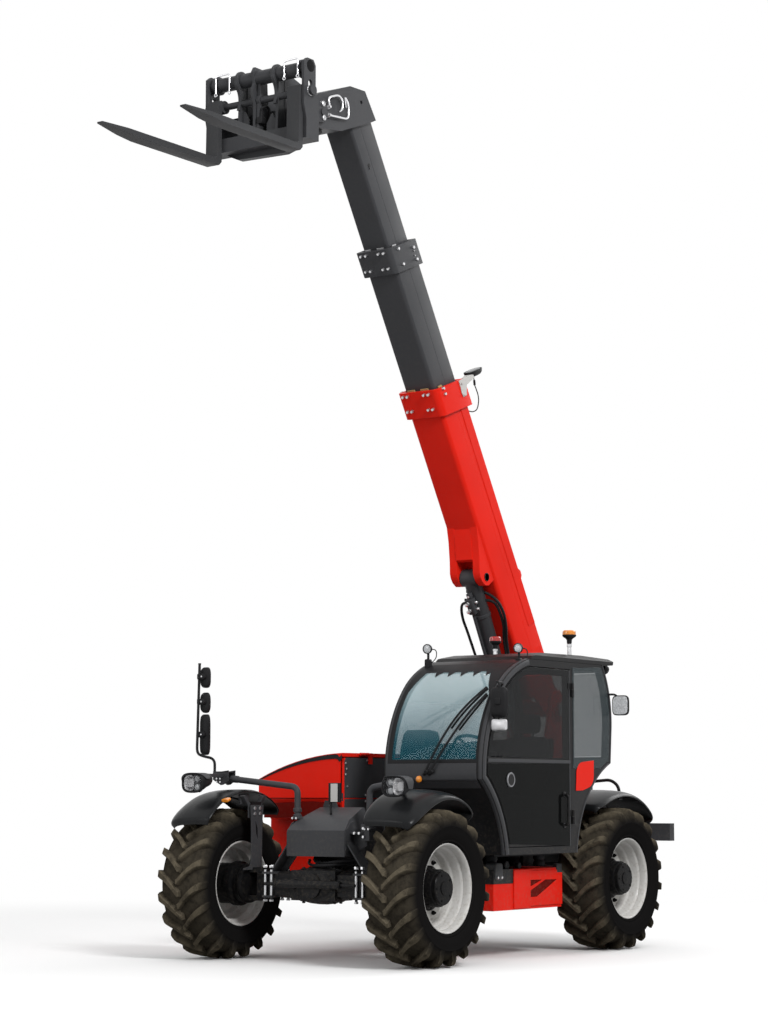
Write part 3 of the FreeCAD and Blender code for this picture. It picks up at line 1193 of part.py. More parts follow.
def fender(x, side, start, stop, drop):
    """Curved guard over the tyre, from start to stop degrees up from straight ahead."""
    r = FENDER_R
    y0 = FENDER_IN - WHEEL_Y
    y1 = FENDER_OUT - WHEEL_Y
    t = FENDER_T
    points = [(y0, r - 30), (y0 + 30, r - 6), (y0 + 130, r), (y1 - 110, r - 8), (y1 - 14, r - drop),
              (y1, r - drop - FENDER_LIP), (y1 - t, r - drop - FENDER_LIP), (y1 - 14 - t, r - drop - 3),
              (y1 - 110 - 2, r - 8 - t), (y0 + 130, r - t), (y0 + 32, r - 6 - t), (y0 + t, r - 30)]
    face = Part.Face(polygon([(z, y, 0) for y, z in points]))
    body = face.revolve(V(0, 0, 0), V(0, 1, 0), -(stop - start))
    body.rotate(V(0, 0, 0), V(0, 1, 0), -start)
    body.translate(V(x, WHEEL_Y, WHEEL_R))
    # strap from the knuckle's bracket to the guard
    face = FENDER_IN - BRACKET_IN + BRACKET_T
    high = WHEEL_R + BRACKET_TOP
    strap = box(x - 60, x + 60, face, FENDER_IN + 60, high - 30, high - 18)
    strap = strap.fuse(box(x - 60, x + 60, face, face + 12, high - 90, high - 18))
    post = box(x - 60, x + 60, FENDER_IN + 40, FENDER_IN + 60, high - 30, WHEEL_R + r - 8)
    body = join([body, strap, post])
    return body if side > 0 else mirrored(body)


# ---------------------------------------------------------------- write all
CORNERS = (("fl", FRONT_AXLE_X, 1), ("fr", FRONT_AXLE_X, -1),
           ("rl", REAR_AXLE_X, 1), ("rr", REAR_AXLE_X, -1))

def main():
    singles = (
        ("chassis_frame", chassis_frame), ("boom_pivot_pin", pivot_pin), ("front_box", front_box),
        ("axle_clamps", axle_clamps),
        ("step_box", step_box), ("rear_body", rear_body), ("engine_bay", engine_bay),
        ("engine_block", engine), ("hood_lid", hood_lid), ("cab_shell", cab_shell),
        ("cab_glass", cab_glass), ("cab_roof", cab_roof), ("door_frame", door_frame),
        ("door_glass", door_glass), ("operator_seat", seat), ("steering_console", console),
        ("lamp_arms", lamp_arm_node), ("headlights", headlights), ("mirrors", mirrors),
        ("roof_lamps", lamps), ("outer_boom", outer_boom),
        ("boom_lamp", boom_lamp), ("extension_1", extension_1), ("extension_2", extension_2),
        ("boom_head", boom_head), ("fork_carriage", carriage), ("forks", forks),
        ("lift_barrel", lift_barrel), ("lift_rod", lift_rod))
    for name, make in singles:
        write(name, make())
    write("front_axle", axle(FRONT_AXLE_X))
    write("rear_axle", axle(REAR_AXLE_X))
    for corner, x, side in CORNERS:
        write("tyre_" + corner, tyre(x, side))
        write("rim_" + corner, rim(x, side))
        write("knuckle_" + corner, knuckle(x, side))
        write("fender_" + corner, fender(x, side, *FENDER_ARCS[x]))


main()
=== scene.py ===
import json
import math
import bmesh
import bpy
import numpy as np
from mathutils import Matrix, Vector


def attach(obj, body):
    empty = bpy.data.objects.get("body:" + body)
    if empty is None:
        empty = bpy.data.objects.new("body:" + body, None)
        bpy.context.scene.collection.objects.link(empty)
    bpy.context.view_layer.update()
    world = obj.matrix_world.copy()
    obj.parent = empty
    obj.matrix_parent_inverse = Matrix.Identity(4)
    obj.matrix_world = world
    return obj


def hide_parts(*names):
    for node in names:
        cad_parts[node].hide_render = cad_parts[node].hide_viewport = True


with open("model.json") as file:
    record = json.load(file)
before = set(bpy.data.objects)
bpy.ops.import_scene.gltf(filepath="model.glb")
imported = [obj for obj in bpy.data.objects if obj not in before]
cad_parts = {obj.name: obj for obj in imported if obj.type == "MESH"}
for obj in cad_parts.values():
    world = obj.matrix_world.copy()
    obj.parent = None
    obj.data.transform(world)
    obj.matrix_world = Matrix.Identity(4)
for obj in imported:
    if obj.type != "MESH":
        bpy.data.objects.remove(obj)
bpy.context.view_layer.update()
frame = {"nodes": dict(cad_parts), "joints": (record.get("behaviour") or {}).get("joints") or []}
nodes = frame["nodes"]
joints = {joint["name"]: joint for joint in frame["joints"]}
print("frame loaded:", len(nodes), "nodes")


# camera
cameraSettings = {
    "place": (16.18, 11.299, 1.279),      # metres
    "heading": 214.644,                    # degrees from +X
    "rise": 6.5985,                        # degrees above level
    "lens": 86.2,
    "sensor": 36.0,
}


def makeCamera(s):
    # a plain camera from its place, heading and rise
    data = bpy.data.cameras.new("camera")
    data.sensor_fit = "VERTICAL"
    data.sensor_height = s["sensor"]
    data.lens = s["lens"]
    data.clip_end = 200
    camera = bpy.data.objects.new("camera", data)
    bpy.context.collection.objects.link(camera)
    camera.location = s["place"]
    camera.rotation_euler = (math.radians(90 + s["rise"]), 0, math.radians(s["heading"] - 90))
    bpy.context.scene.camera = camera


makeCamera(cameraSettings)
print("camera placed")


# shader terms
class Term:
    # one output socket; the arithmetic signs add Math nodes to its material
    def __init__(self, finish, socket):
        self.finish = finish
        self.socket = socket

    def maths(self, operation, first, second):
        return self.finish.node("ShaderNodeMath", {"operation": operation}, {0: first, 1: second})

    def __add__(self, other):
        return self.maths("ADD", self, other)

    def __radd__(self, other):
        return self.maths("ADD", other, self)

    def __rsub__(self, other):
        return self.maths("SUBTRACT", other, self)

    def __mul__(self, other):
        return self.maths("MULTIPLY", self, other)

    def __rmul__(self, other):
        return self.maths("MULTIPLY", other, self)

    def between(self, low, high):
        # 0 below low, 1 above high, a smooth step from one to the other
        settings = {"interpolation_type": "SMOOTHSTEP"}
        values = {"Value": self, "From Min": low, "From Max": high}
        return self.finish.node("ShaderNodeMapRange", settings, values)


class Finish:
    # one material; node() adds any node and returns its first output as a term
    def __init__(self, name):
        self.material = bpy.data.materials.new(name)
        self.material.use_nodes = True
        self.tree = self.material.node_tree
        self.shader = self.tree.nodes["Principled BSDF"]

    def node(self, kind, settings, values, output=0):
        made = self.tree.nodes.new(kind)
        for key, value in settings.items():
            setattr(made, key, value)
        for key, value in values.items():
            self.feed(made.inputs[key], value)
        return Term(self, made.outputs[output])

    def feed(self, socket, value):
        if isinstance(value, Term):
            self.tree.links.new(value.socket, socket)
        elif hasattr(value, "__len__") and len(value) == 3 and socket.type == "RGBA":
            socket.default_value = (*value, 1)
        else:
            socket.default_value = value

    def set(self, **values):
        for key, value in values.items():
            name = "".join(" " + letter if letter.isupper() else letter for letter in key).strip()
            self.feed(self.shader.inputs[name], value)
        return self

    def place(self, scale):
        where = self.node("ShaderNodeTexCoord", {}, {}, "Object")
        return self.node("ShaderNodeMapping", {}, {"Vector": where, "Scale": scale})

    def noise(self, scale, detail, roughness=0.5, stretch=(1, 1, 1)):
        values = {"Vector": self.place(stretch), "Scale": scale, "Detail": detail, "Roughness": roughness}
        return self.node("ShaderNodeTexNoise", {}, values)

    def height(self):
        where = self.node("ShaderNodeTexCoord", {}, {}, "Object")
        return self.node("ShaderNodeSeparateXYZ", {}, {0: where}, "Z")

    def blend(self, amount, first, second):
        return self.node("ShaderNodeMix", {"data_type": "RGBA"}, {0: amount, 6: first, 7: second}, 2)

    def bump(self, height, strength, distance):
        values = {"Height": height, "Strength": strength, "Distance": distance}
        return self.node("ShaderNodeBump", {}, values)


# finishes
finishes = {}


def paint(name, colour, rough, coat, dust, gloss=0.12):
    # clear-coated paint: broad colour drift, dust that thickens low down, fine orange peel
    f = Finish(name)
    drift = f.noise(2.1, 4).between(0.3, 0.75)
    specks = f.noise(38, 6, 0.62).between(0.45, 0.72)
    low = 1 - f.height().between(0.25, 1.35)
    darker = tuple(c * 0.82 for c in colour)
    film = (low * 0.7 + 0.12) * dust * specks
    tone = f.blend(drift * 0.5, colour, darker)
    f.set(BaseColor=f.blend(film, tone, (0.23, 0.19, 0.14)), Roughness=film * 0.5 + drift * 0.08 + rough)
    f.set(CoatWeight=coat, CoatRoughness=0.08)
    f.feed(f.shader.inputs["Specular IOR Level"], gloss)
    f.set(Normal=f.bump(f.noise(420, 2), 0.04, 0.002))
    finishes[name] = f.material


def plastic(name, colour, rough, grain, strength, gloss=0.1):
    # moulded plastic: fine pimpled grain and a slightly chalky drift
    f = Finish(name)
    drift = f.noise(5, 4).between(0.3, 0.8)
    paler = tuple(c * 1.5 + 0.004 for c in colour)
    f.set(BaseColor=f.blend(drift * 0.5, colour, paler), Roughness=drift * 0.12 + rough)
    f.feed(f.shader.inputs["Specular IOR Level"], gloss)
    f.set(Normal=f.bump(f.noise(grain, 2), strength, 0.001))
    finishes[name] = f.material


def metal(name, colour, rough):
    # bare metal: fine streaks and a few duller stains
    f = Finish(name)
    streaks = f.noise(60, 4, 0.6)
    stains = f.noise(6, 5).between(0.45, 0.8)
    dull = tuple(c * 0.7 for c in colour)
    f.set(BaseColor=f.blend(stains * 0.5, colour, dull), Metallic=1.0)
    f.set(Roughness=streaks * 0.15 + stains * 0.12 + rough)
    f.set(Normal=f.bump(streaks, 0.03, 0.001))
    finishes[name] = f.material


paint("redPaint", (0.82, 0.018, 0.008), 0.36, 0.03, 0.22, gloss=0.05)
# painted shade: a dark red that stands in for the shadow in the recesses below the nose and in the step box
paint("redShade", (0.13, 0.006, 0.004), 0.5, 0.0, 0.2, gloss=0.03)
paint("greyPaint", (0.048, 0.049, 0.053), 0.42, 0.0, 0.22)
paint("blackPaint", (0.01, 0.01, 0.011), 0.38, 0.0, 0.25)
paint("forkPaint", (0.046, 0.047, 0.05), 0.5, 0.0, 0.25)
paint("hubPaint", (0.006, 0.006, 0.0065), 0.24, 0.0, 0.06, gloss=0.05)
paint("silverPaint", (0.58, 0.57, 0.55), 0.36, 0.1, 0.45)
plastic("blackPlastic", (0.013, 0.013, 0.014), 0.5, 900, 0.1)
plastic("fenderPlastic", (0.0075, 0.008, 0.0088), 0.27, 700, 0.04, 0.14)
metal("chrome", (0.8, 0.8, 0.82), 0.08)
metal("steel", (0.55, 0.55, 0.56), 0.3)
metal("engineMetal", (0.2, 0.2, 0.21), 0.5)


def makeGlass():
    # tinted pane: mostly clear, a cool body colour, sharp gloss
    f = Finish("glazing")
    f.set(BaseColor=(0.1, 0.19, 0.24), Roughness=0.03, Alpha=0.38)
    f.material.surface_render_method = "BLENDED"
    finishes["glazing"] = f.material


def makeRubber():
    # tyre rubber: black, with dried mud that lies on the lugs
    f = Finish("tyreRubber")
    where = f.node("ShaderNodeAttribute", {"attribute_name": "mud"}, {}, "Fac")
    patches = f.noise(14, 8, 0.7).between(0.25, 0.62)
    fine = f.noise(160, 4, 0.6)
    mud = where * (patches * 0.75 + 0.25)
    dirt = f.blend(fine, (0.088, 0.073, 0.05), (0.16, 0.136, 0.098))
    f.set(BaseColor=f.blend(mud, (0.0095, 0.009, 0.009), dirt))
    f.set(Roughness=mud * 0.3 + 0.58, Normal=f.bump(fine, 0.25, 0.002))
    f.feed(f.shader.inputs["Specular IOR Level"], 0.0)
    finishes["tyreRubber"] = f.material


def makeFabric():
    # woven seat cloth: two crossed sine waves, tiny
    f = Finish("seatFabric")
    weave = f.noise(700, 2, 0.4, (1, 0.3, 1)) * f.noise(700, 2, 0.4, (0.3, 1, 1))
    f.set(BaseColor=f.blend(weave.between(0.1, 0.4), (0.018, 0.018, 0.02), (0.06, 0.06, 0.065)))
    f.set(Roughness=0.9, SheenWeight=0.3, Normal=f.bump(weave, 0.4, 0.002))
    finishes["seatFabric"] = f.material


def makeScreenGlass(name, alpha):
    # green-blue pane, paler towards the top than towards the dash: painted light, the bright sky seen
    # through it
    f = Finish(name)
    # painted light: the upper part of the pane is pale, as the sky that shows through it
    rise = f.height().between(1.6, 2.25)
    f.set(BaseColor=f.blend(rise, (0.01, 0.13, 0.18), (0.46, 0.62, 0.66)), Roughness=0.03, Alpha=alpha)
    f.feed(f.shader.inputs["Specular IOR Level"], 0.2)
    f.material.surface_render_method = "BLENDED"
    finishes[name] = f.material


def makeFrameFinish():
    # the chassis plates: red towers above the deck, and black with dust specks below it
    f = Finish("framePaint")
    rise = f.height().between(0.985, 0.995)
    specks = f.noise(38, 6, 0.62).between(0.45, 0.72)
    low = f.blend(specks * 0.3, (0.01, 0.01, 0.011), (0.1, 0.085, 0.065))
    f.set(BaseColor=f.blend(rise, low, (0.82, 0.018, 0.008)), Roughness=specks * 0.2 + 0.4)
    f.feed(f.shader.inputs["Specular IOR Level"], 0.12)
    finishes["framePaint"] = f.material


makeGlass()
makeScreenGlass("screenGlass", 0.32)
makeScreenGlass("innerGlass", 0.44)
makeFrameFinish()
makeRubber()
makeFabric()
nodeFinish = {
    "redPaint": "engine_bay hood_lid step_box outer_boom",
    "framePaint": "chassis_frame",
    "greyPaint": "front_box axle_clamps rear_body extension_1 extension_2 boom_head "
                 "fork_carriage lift_barrel",
    "blackPaint": "cab_shell cab_roof door_frame lamp_arms front_axle rear_axle "
                  "knuckle_fl knuckle_fr knuckle_rl knuckle_rr",
    "blackPlastic": "steering_console headlights mirrors roof_lamps boom_lamp",
    "fenderPlastic": "fender_fl fender_fr fender_rl fender_rr",
    "forkPaint": "forks",
    "silverPaint": "rim_fl rim_fr rim_rl rim_rr",
    "glazing": "cab_glass door_glass",
    "tyreRubber": "tyre_fl tyre_fr tyre_rl tyre_rr",
    "seatFabric": "operator_seat",
    "chrome": "lift_rod",
    "steel": "boom_pivot_pin",
    "engineMetal": "engine_block",
}
for finishName, names in nodeFinish.items():
    for name in names.split():
        slots = nodes[name].data.materials
        slots.clear()
        slots.append(finishes[finishName])
print("finishes made:", len(finishes))


# surfaces
# a shape is (points, quads, lids): all points in one array, four-sided faces in another,
# and a few many-sided lids
def grid(points, closeRows=False, closeCols=False, capped=False):
    # a surface through rows and columns of points: one quad between each four neighbours
    rows, cols = points.shape[:2]
    r = np.arange(rows if closeRows else rows - 1)[:, None]
    c = np.arange(cols if closeCols else cols - 1)[None, :]
    nextRow, nextCol = (r + 1) % rows, (c + 1) % cols
    quads = np.stack([r * cols + c, r * cols + nextCol, nextRow * cols + nextCol, nextRow * cols + c], -1)
    lids = [np.arange(cols)[::-1], np.arange(cols) + (rows - 1) * cols] if capped else []
    return points.reshape(-1, 3), quads.reshape(-1, 4), lids


def tube(points):
    # a skin over closed loops, with a lid on the first and the last of them
    return grid(points, closeCols=True, capped=True)


def joined(shapes):
    # several shapes as one: each one's face numbers move up by the points before it
    starts = np.cumsum([0] + [len(s[0]) for s in shapes])
    points = np.concatenate([s[0] for s in shapes])
    quads = np.concatenate([s[1] + n for s, n in zip(shapes, starts)])
    return points, quads, [lid + n for s, n in zip(shapes, starts) for lid in s[2]]


def repeated(shape, moved):
    # one shape many times: moved holds its points at each place, copies by points by 3
    copies, count = moved.shape[:2]
    shift = (np.arange(copies) * count)[:, None, None]
    quads = (shape[1][None] + shift).reshape(-1, 4)
    lids = [lid + count * i for i in range(copies) for lid in shape[2]]
    return moved.reshape(-1, 3), quads, lids


def around(count):
    # evenly spaced angles of a full turn
    return np.arange(count) * 2 * np.pi / count


def unit(v):
    # each vector divided by its length
    return v / np.maximum(np.linalg.norm(v, axis=-1, keepdims=True), 1e-12)


def squareTo(axis):
    # two unit directions at right angles to an axis and to each other
    axis = unit(np.array(axis, float))
    other = np.eye(3)[np.argmin(np.abs(axis))]
    first = unit(np.cross(other, axis))
    return first, np.cross(axis, first)


def lathe(profile, centre, axis, segments, capped=True):
    # turned shape: each (radius, distance along the axis) goes round in a circle
    profile, axis = np.array(profile, float), np.array(axis)
    e1, e2 = squareTo(axis)
    turn = around(segments)
    ring = np.cos(turn)[:, None] * e1 + np.sin(turn)[:, None] * e2
    along = (profile[:, 1, None] * unit(axis))[:, None]
    points = np.array(centre) + profile[:, 0, None, None] * ring + along
    return grid(points, closeCols=True, capped=capped)


def ringed(profile, centre, axis, segments):
    # a turned shape whose profile runs back into itself
    points = lathe(profile, centre, axis, segments, capped=False)[0]
    return grid(points.reshape(-1, segments, 3), closeRows=True, closeCols=True)


def carried(path, profile, scale=None, side=None):
    # a flat profile carried along a path: it stays square to the path and doesn't twist about it
    path, profile = np.array(path, float), np.array(profile, float)
    along = unit(np.gradient(path, axis=0))
    sides = np.empty_like(path)
    sides[0] = squareTo(along[0])[0] if side is None else side
    for i in range(len(path)):
        before = sides[max(i - 1, 0)]
        sides[i] = unit(before - along[i] * (before @ along[i]))
    ups = np.cross(along, sides)
    size = np.ones(len(path)) if scale is None else scale
    flat = profile[None] * size[:, None, None]
    points = path[:, None] + sides[:, None] * flat[:, :, :1] + ups[:, None] * flat[:, :, 1:]
    return tube(points)


def circle(radius, sides):
    # evenly spaced points round a flat circle
    turn = around(sides)
    return np.stack([np.cos(turn), np.sin(turn)], -1) * radius


def rounded(corners, bend, steps=7):
    # straight runs whose corners are cut by a curve that starts and ends one bend away
    corners = np.array(corners, float)
    t = np.linspace(0, 1, steps)[:, None]
    path = [corners[:1]]
    for before, at, after in zip(corners, corners[1:], corners[2:]):
        a = at + unit(before - at) * min(bend, np.linalg.norm(before - at) * 0.48)
        b = at + unit(after - at) * min(bend, np.linalg.norm(after - at) * 0.48)
        path.append((1 - t) ** 2 * a + 2 * t * (1 - t) * at + t ** 2 * b)
    return np.concatenate(path + [corners[-1:]])


def flowing(knots, count):
    # a smooth line through knots: Catmull-Rom, each stretch a cubic of its four nearest knots
    k = np.array(knots, float)
    k = np.concatenate([[2 * k[0] - k[1]], k, [2 * k[-1] - k[-2]]])
    where = np.linspace(0, len(k) - 3 - 1e-9, count)
    i = where.astype(int)
    t = (where - i)[:, None]
    a, b, c, d = k[i], k[i + 1], k[i + 2], k[i + 3]
    square, cube = 2 * a - 5 * b + 4 * c - d, 3 * b - a - 3 * c + d
    return 0.5 * (2 * b + (c - a) * t + square * t ** 2 + cube * t ** 3)


def rod(start, end, radius, sides=16):
    # a circle carried along a straight line
    return carried([start, end], circle(radius, sides))


def hose(corners, radius, bend=0.05, sides=10):
    # a circle carried along a line with rounded corners
    return carried(rounded(corners, bend), circle(radius, sides))


def slab(outline, low, high, across):
    # a flat outline pushed from low to high along the axis named by across
    outline = np.array(outline, float)
    order = {"x": (2, 0, 1), "y": (0, 2, 1), "z": (0, 1, 2)}[across]
    layers = [np.column_stack([outline, np.full(len(outline), level)]) for level in (low, high)]
    return tube(np.stack(layers)[:, :, list(order)])


def block(x, y, z):
    # an upright slab between two values along each axis
    return slab([(x[0], z[0]), (x[1], z[0]), (x[1], z[1]), (x[0], z[1])], y[0], y[1], "y")


def bolts(centres, axis, radius, height, sides=6):
    # hexagon heads with a small chamfer, one at each centre
    head = lathe([(radius, 0), (radius, height * 0.75), (radius * 0.86, height)], (0, 0, 0), axis, sides)
    centres = np.array(centres, float).reshape(-1, 3)
    return repeated(head, head[0][None] + centres[:, None])


def boltCircle(centre, radius, count, start=0.0):
    # points round an axle that runs along y
    turn = start + around(count)
    return [(centre[0] + radius * math.cos(a), centre[1], centre[2] + radius * math.sin(a)) for a in turn]


def mirrored(shape):
    # the same shape on the other side of the centre plane
    return shape[0] * [1, -1, 1], shape[1], shape[2]


# the slot of each finish, where a piece doesn't name another one
slotFinishes = {
    "paint_red": "redPaint redShade",
    "paint_grey": "greyPaint",
    "paint_black": "blackPaint hubPaint",
    "rim_silver": "silverPaint",
    "black_plastic": "blackPlastic padPlastic",
    "fender_plastic": "fenderPlastic",
    "bright_steel": "chrome steel mirrorFace",
    "glazing": "glazing screenGlass innerGlass tinted darkGlass paleTint amber redLens "
               "lampFace lampDim clearLens",
    "tyre_rubber": "tyreRubber",
    "seat_fabric": "seatFabric",
}
slotOf = {finish: slot for slot, names in slotFinishes.items() for finish in names.split()}


def placed(name, mesh, material, body, slot, bevel, angle, replaces):
    # the object of a mesh: smooth faces, sharp seams, rounded edges, body and what it replaces; slot is not
    # used
    mesh.shade_smooth()
    mesh.set_sharp_from_angle(angle=math.radians(angle))
    mesh.materials.append(material)
    item = bpy.data.objects.new(name, mesh)
    bpy.context.collection.objects.link(item)
    if bevel:
        edge = item.modifiers.new("edge", "BEVEL")
        edge.width, edge.segments, edge.limit_method = bevel, 2, "ANGLE"
        edge.angle_limit, edge.harden_normals = math.radians(38), True
    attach(item, body)
    if replaces:
        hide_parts(*replaces)
    return item


def piece(name, shape, finish, body="chassis", slot="", bevel=0.0, angle=35, replaces=()):
    # one visible object, from a shape or a list of shapes
    points, quads, lids = joined(shape) if isinstance(shape, list) else shape
    mesh = bpy.data.meshes.new(name)
    mesh.from_pydata(points.tolist(), [], quads.tolist() + [lid.tolist() for lid in lids])
    made = bmesh.new()
    made.from_mesh(mesh)
    bmesh.ops.recalc_face_normals(made, faces=made.faces)
    made.to_mesh(mesh)
    made.free()
    return placed(name, mesh, finishes[finish], body, slot or slotOf[finish], bevel, angle, replaces)


def softened(node, width, body, slot):
    # a copy of a CAD node with its seams merged, flat faces joined and edges rounded
    made = bmesh.new()
    made.from_mesh(nodes[node].data)
    bmesh.ops.remove_doubles(made, verts=made.verts, dist=0.00005)
    bmesh.ops.dissolve_limit(made, angle_limit=math.radians(1.5), verts=made.verts, edges=made.edges)
    mesh = bpy.data.meshes.new(node + "_soft")
    made.to_mesh(mesh)
    made.free()
    return placed(node + "_soft", mesh, nodes[node].data.materials[0], body, slot, width, 35, [node])


# wheels
wheelPlaces = {c: np.array(joints["wheel_" + c + "_spin"]["pos_m"]) for c in ("fl", "fr", "rl", "rr")}
tyre = {
    "radius": 0.59, "beadRadius": 0.322, "beadHalf": 0.186,
    "lugs": 19, "lugDepth": 0.043, "lugTop": 0.046, "lugFlare": 0.012, "sweep": 0.162, "phase": -0.1233,
}


def tyreBody(t):
    # the casing's section, (radius, offset): bead, bulged wall, shoulder, crowned tread
    floor = t["radius"] - t["lugDepth"]
    half = [(t["beadRadius"] + 0.004, t["beadHalf"] - 0.03), (t["beadRadius"], t["beadHalf"] - 0.004),
            (t["beadRadius"] + 0.01, t["beadHalf"]), (0.345, 0.199), (0.349, 0.204), (0.357, 0.205),
            (0.362, 0.203), (0.385, 0.214), (0.42, 0.222), (0.455, 0.223), (0.461, 0.226), (0.466, 0.223),
            (0.49, 0.215), (0.512, 0.2), (0.528, 0.176), (floor - 0.009, 0.14), (floor - 0.003, 0.08),
            (floor, 0)]
    half = np.array(half)
    other = half[-2::-1] * [1, -1]
    foot, width = t["beadRadius"] + 0.02, t["beadHalf"] - 0.03
    inner = [(foot, -width), (0.48, -0.17), (0.48, 0.17), (foot, width)]
    return np.concatenate([half, other, inner])


def lugPoints(t, side):
    # a lug's grid: along it from past the middle out over the shoulder, across it the section of a bar
    # the bar lags behind its tip by sweep, most of it near the middle
    s = np.array([-0.012, 0.0, 0.05, 0.1, 0.145, 0.18, 0.205, 0.22, 0.227])
    reach = np.clip(s / 0.205, 0, None)
    lag = t["sweep"] * (1.45 * reach - 0.45 * reach ** 2)
    top = t["radius"] - np.array([0.004, 0.0, 0.001, 0.003, 0.006, 0.011, 0.024, 0.056, 0.1])
    sunken = np.array([0, 0, 0, 0, 0.004, 0.02, 0.05, 0.06, 0.05])
    low = np.minimum(t["radius"] - t["lugDepth"] - 0.012, top - 0.004) - sunken
    half = t["lugTop"] / 2 * np.array([0.85, 0.95, 0.95, 1.0, 1.1, 1.25, 1.35, 1.3, 1.05])
    bend = np.array([-1, -0.96, -0.84, 0.84, 0.96, 1])
    lift = np.array([0, 0.93, 1.0, 1.0, 0.93, 0])
    spread = half[:, None] * bend + np.where(np.abs(bend) == 1, np.sign(bend) * t["lugFlare"], 0)
    radius = low[:, None] + (top - low)[:, None] * lift
    along = lag[:, None] + spread
    sunk = np.where(lift == 0, 0.006, 0)
    y = np.broadcast_to((s * side)[:, None], along.shape) - side * sunk * (s > 0.19)[:, None]
    return along / t["radius"], y, radius


def makeTyre(corner, t):
    # the casing turned round its axle, and two rows of lugs half a step apart
    centre = wheelPlaces[corner]
    shapes = [ringed(tyreBody(t), centre, (0, 1, 0), 144)]
    step = 2 * np.pi / t["lugs"]
    for side in (1, -1):
        angle, y, radius = lugPoints(t, side)
        turns = (np.arange(t["lugs"]) + side * 0.25) * step + t["phase"]
        a = turns[:, None, None] - angle[None]
        shape = np.stack([np.cos(a) * radius, np.broadcast_to(y, a.shape), -np.sin(a) * radius], -1)
        lug = grid(shape[0], capped=True)
        shapes.append(repeated(lug, (shape + centre).reshape(t["lugs"], -1, 3)))
    item = piece("tyre_" + corner + "_tread", shapes, "tyreRubber", "wheel_" + corner, angle=32,
                 replaces=["tyre_" + corner])
    markMud(item, centre)


def markMud(item, centre):
    # an attribute that is 1 on the lugs' tops, less between them and least on the walls
    points = np.empty(len(item.data.vertices) * 3)
    item.data.vertices.foreach_get("co", points)
    away = points.reshape(-1, 3) - centre
    radius = np.hypot(away[:, 0], away[:, 2])
    tread = np.clip((radius - 0.475) / 0.06, 0, 1)
    shoulder = np.clip((0.245 - np.abs(away[:, 1])) / 0.03, 0.25, 1)
    top = np.clip((radius - 0.548) / 0.022, 0.42, 1)
    mud = (tread * shoulder * top).astype(np.float32)
    item.data.attributes.new("mud", "FLOAT", "POINT").data.foreach_set("value", mud)


for corner in wheelPlaces:
    makeTyre(corner, tyre)
print("tyres made")

rim = {
    "nuts": 10, "nutCircle": 0.196, "coverBolts": 5, "coverCircle": 0.098,
    "hubRadius": 0.142, "hubReach": 0.16,
}


def makeRim(corner, r):
    # turned shapes on the axle and bolts on circles round it
    centre = wheelPlaces[corner]
    out = np.array([0, 1.0 if corner.endswith("l") else -1.0, 0])
    # barrel and flanges, then the dished disc: (radius, offset towards the outside)
    barrel = [(0.331, 0.192), (0.338, 0.188), (0.34, 0.181), (0.336, 0.176), (0.3215, 0.172),
              (0.3195, 0.135), (0.306, 0.118), (0.302, 0.06), (0.292, 0.045), (0.29, -0.1), (0.3195, -0.13),
              (0.3215, -0.172), (0.336, -0.176), (0.34, -0.183), (0.331, -0.192), (0.322, -0.19),
              (0.312, -0.176), (0.31, -0.128), (0.28, -0.1), (0.278, -0.03), (0.276, 0.036), (0.281, 0.044),
              (0.289, 0.052), (0.292, 0.06), (0.296, 0.11), (0.301, 0.117), (0.31, 0.128), (0.312, 0.168),
              (0.318, 0.178), (0.324, 0.188)]
    disc = [(0.2785, -0.02), (0.262, -0.026), (0.245, -0.02), (0.235, 0.004), (0.222, 0.012), (0.15, 0.012),
            (0.15, 0.0), (0.222, -0.002), (0.232, -0.012), (0.245, -0.036), (0.2785, -0.036)]
    shapes = [ringed(profile, centre, out, 96) for profile in (barrel, disc)]
    piece("rim_" + corner + "_barrel", shapes, "silverPaint", "wheel_" + corner, replaces=["rim_" + corner])
    # final drive: a cup behind the nuts, a stepped hub and its bolted cover
    radius, reach = r["hubRadius"], r["hubReach"]
    hub = [(0.09, -0.15), (0.158, -0.15), (0.16, 0.004), (0.168, 0.006), (0.168, 0.024), (0.162, 0.03),
           (0.156, 0.032), (radius + 0.006, 0.044), (radius, 0.052), (radius, 0.118),
           (radius - 0.005, 0.126), (0.128, 0.129), (0.126, reach - 0.006), (0.12, reach),
           (0.052, reach + 0.002), (0.05, reach + 0.008), (0.03, reach + 0.009)]
    nuts = np.array(boltCircle((0, 0, 0), r["nutCircle"], r["nuts"])) + centre + out * 0.012
    covers = np.array(boltCircle((0, 0, 0), r["coverCircle"], r["coverBolts"])) + centre + out * reach
    parts = [lathe(hub, centre, out, 72), bolts(nuts, out, 0.017, 0.02),
             bolts(nuts + out * 0.018, out, 0.009, 0.014, 12), bolts(covers, out, 0.008, 0.006)]
    piece("hub_" + corner, parts, "hubPaint", "wheel_" + corner)
    valve = centre + np.array([0.235, 0, 0.12]) + out * 0.05
    piece("valve_" + corner, rod(valve, valve + out * 0.04, 0.005), "chrome", "wheel_" + corner)


for corner in wheelPlaces:
    makeRim(corner, rim)
print("rims made")


# more surfaces
def squircle(a, b, power=4.0, count=40):
    # rounded oblong: |u/a|^power + |v/b|^power = 1
    turn = around(count)
    c, s = np.cos(turn), np.sin(turn)
    reach = (np.abs(c) ** power + np.abs(s) ** power) ** (-1 / power)
    return np.stack([c * reach * a, s * reach * b], -1)


def loft(rings, across="x"):
    # a closed skin over rounded oblongs; each is (level, centre u, centre v, half u, half v, power)
    order = {"x": (2, 0, 1), "y": (0, 2, 1), "z": (0, 1, 2)}[across]
    rows = [np.column_stack([squircle(a, b, p) + (u, v), np.full(40, level)])
            for level, u, v, a, b, p in rings]
    return tube(np.stack(rows)[:, :, list(order)])


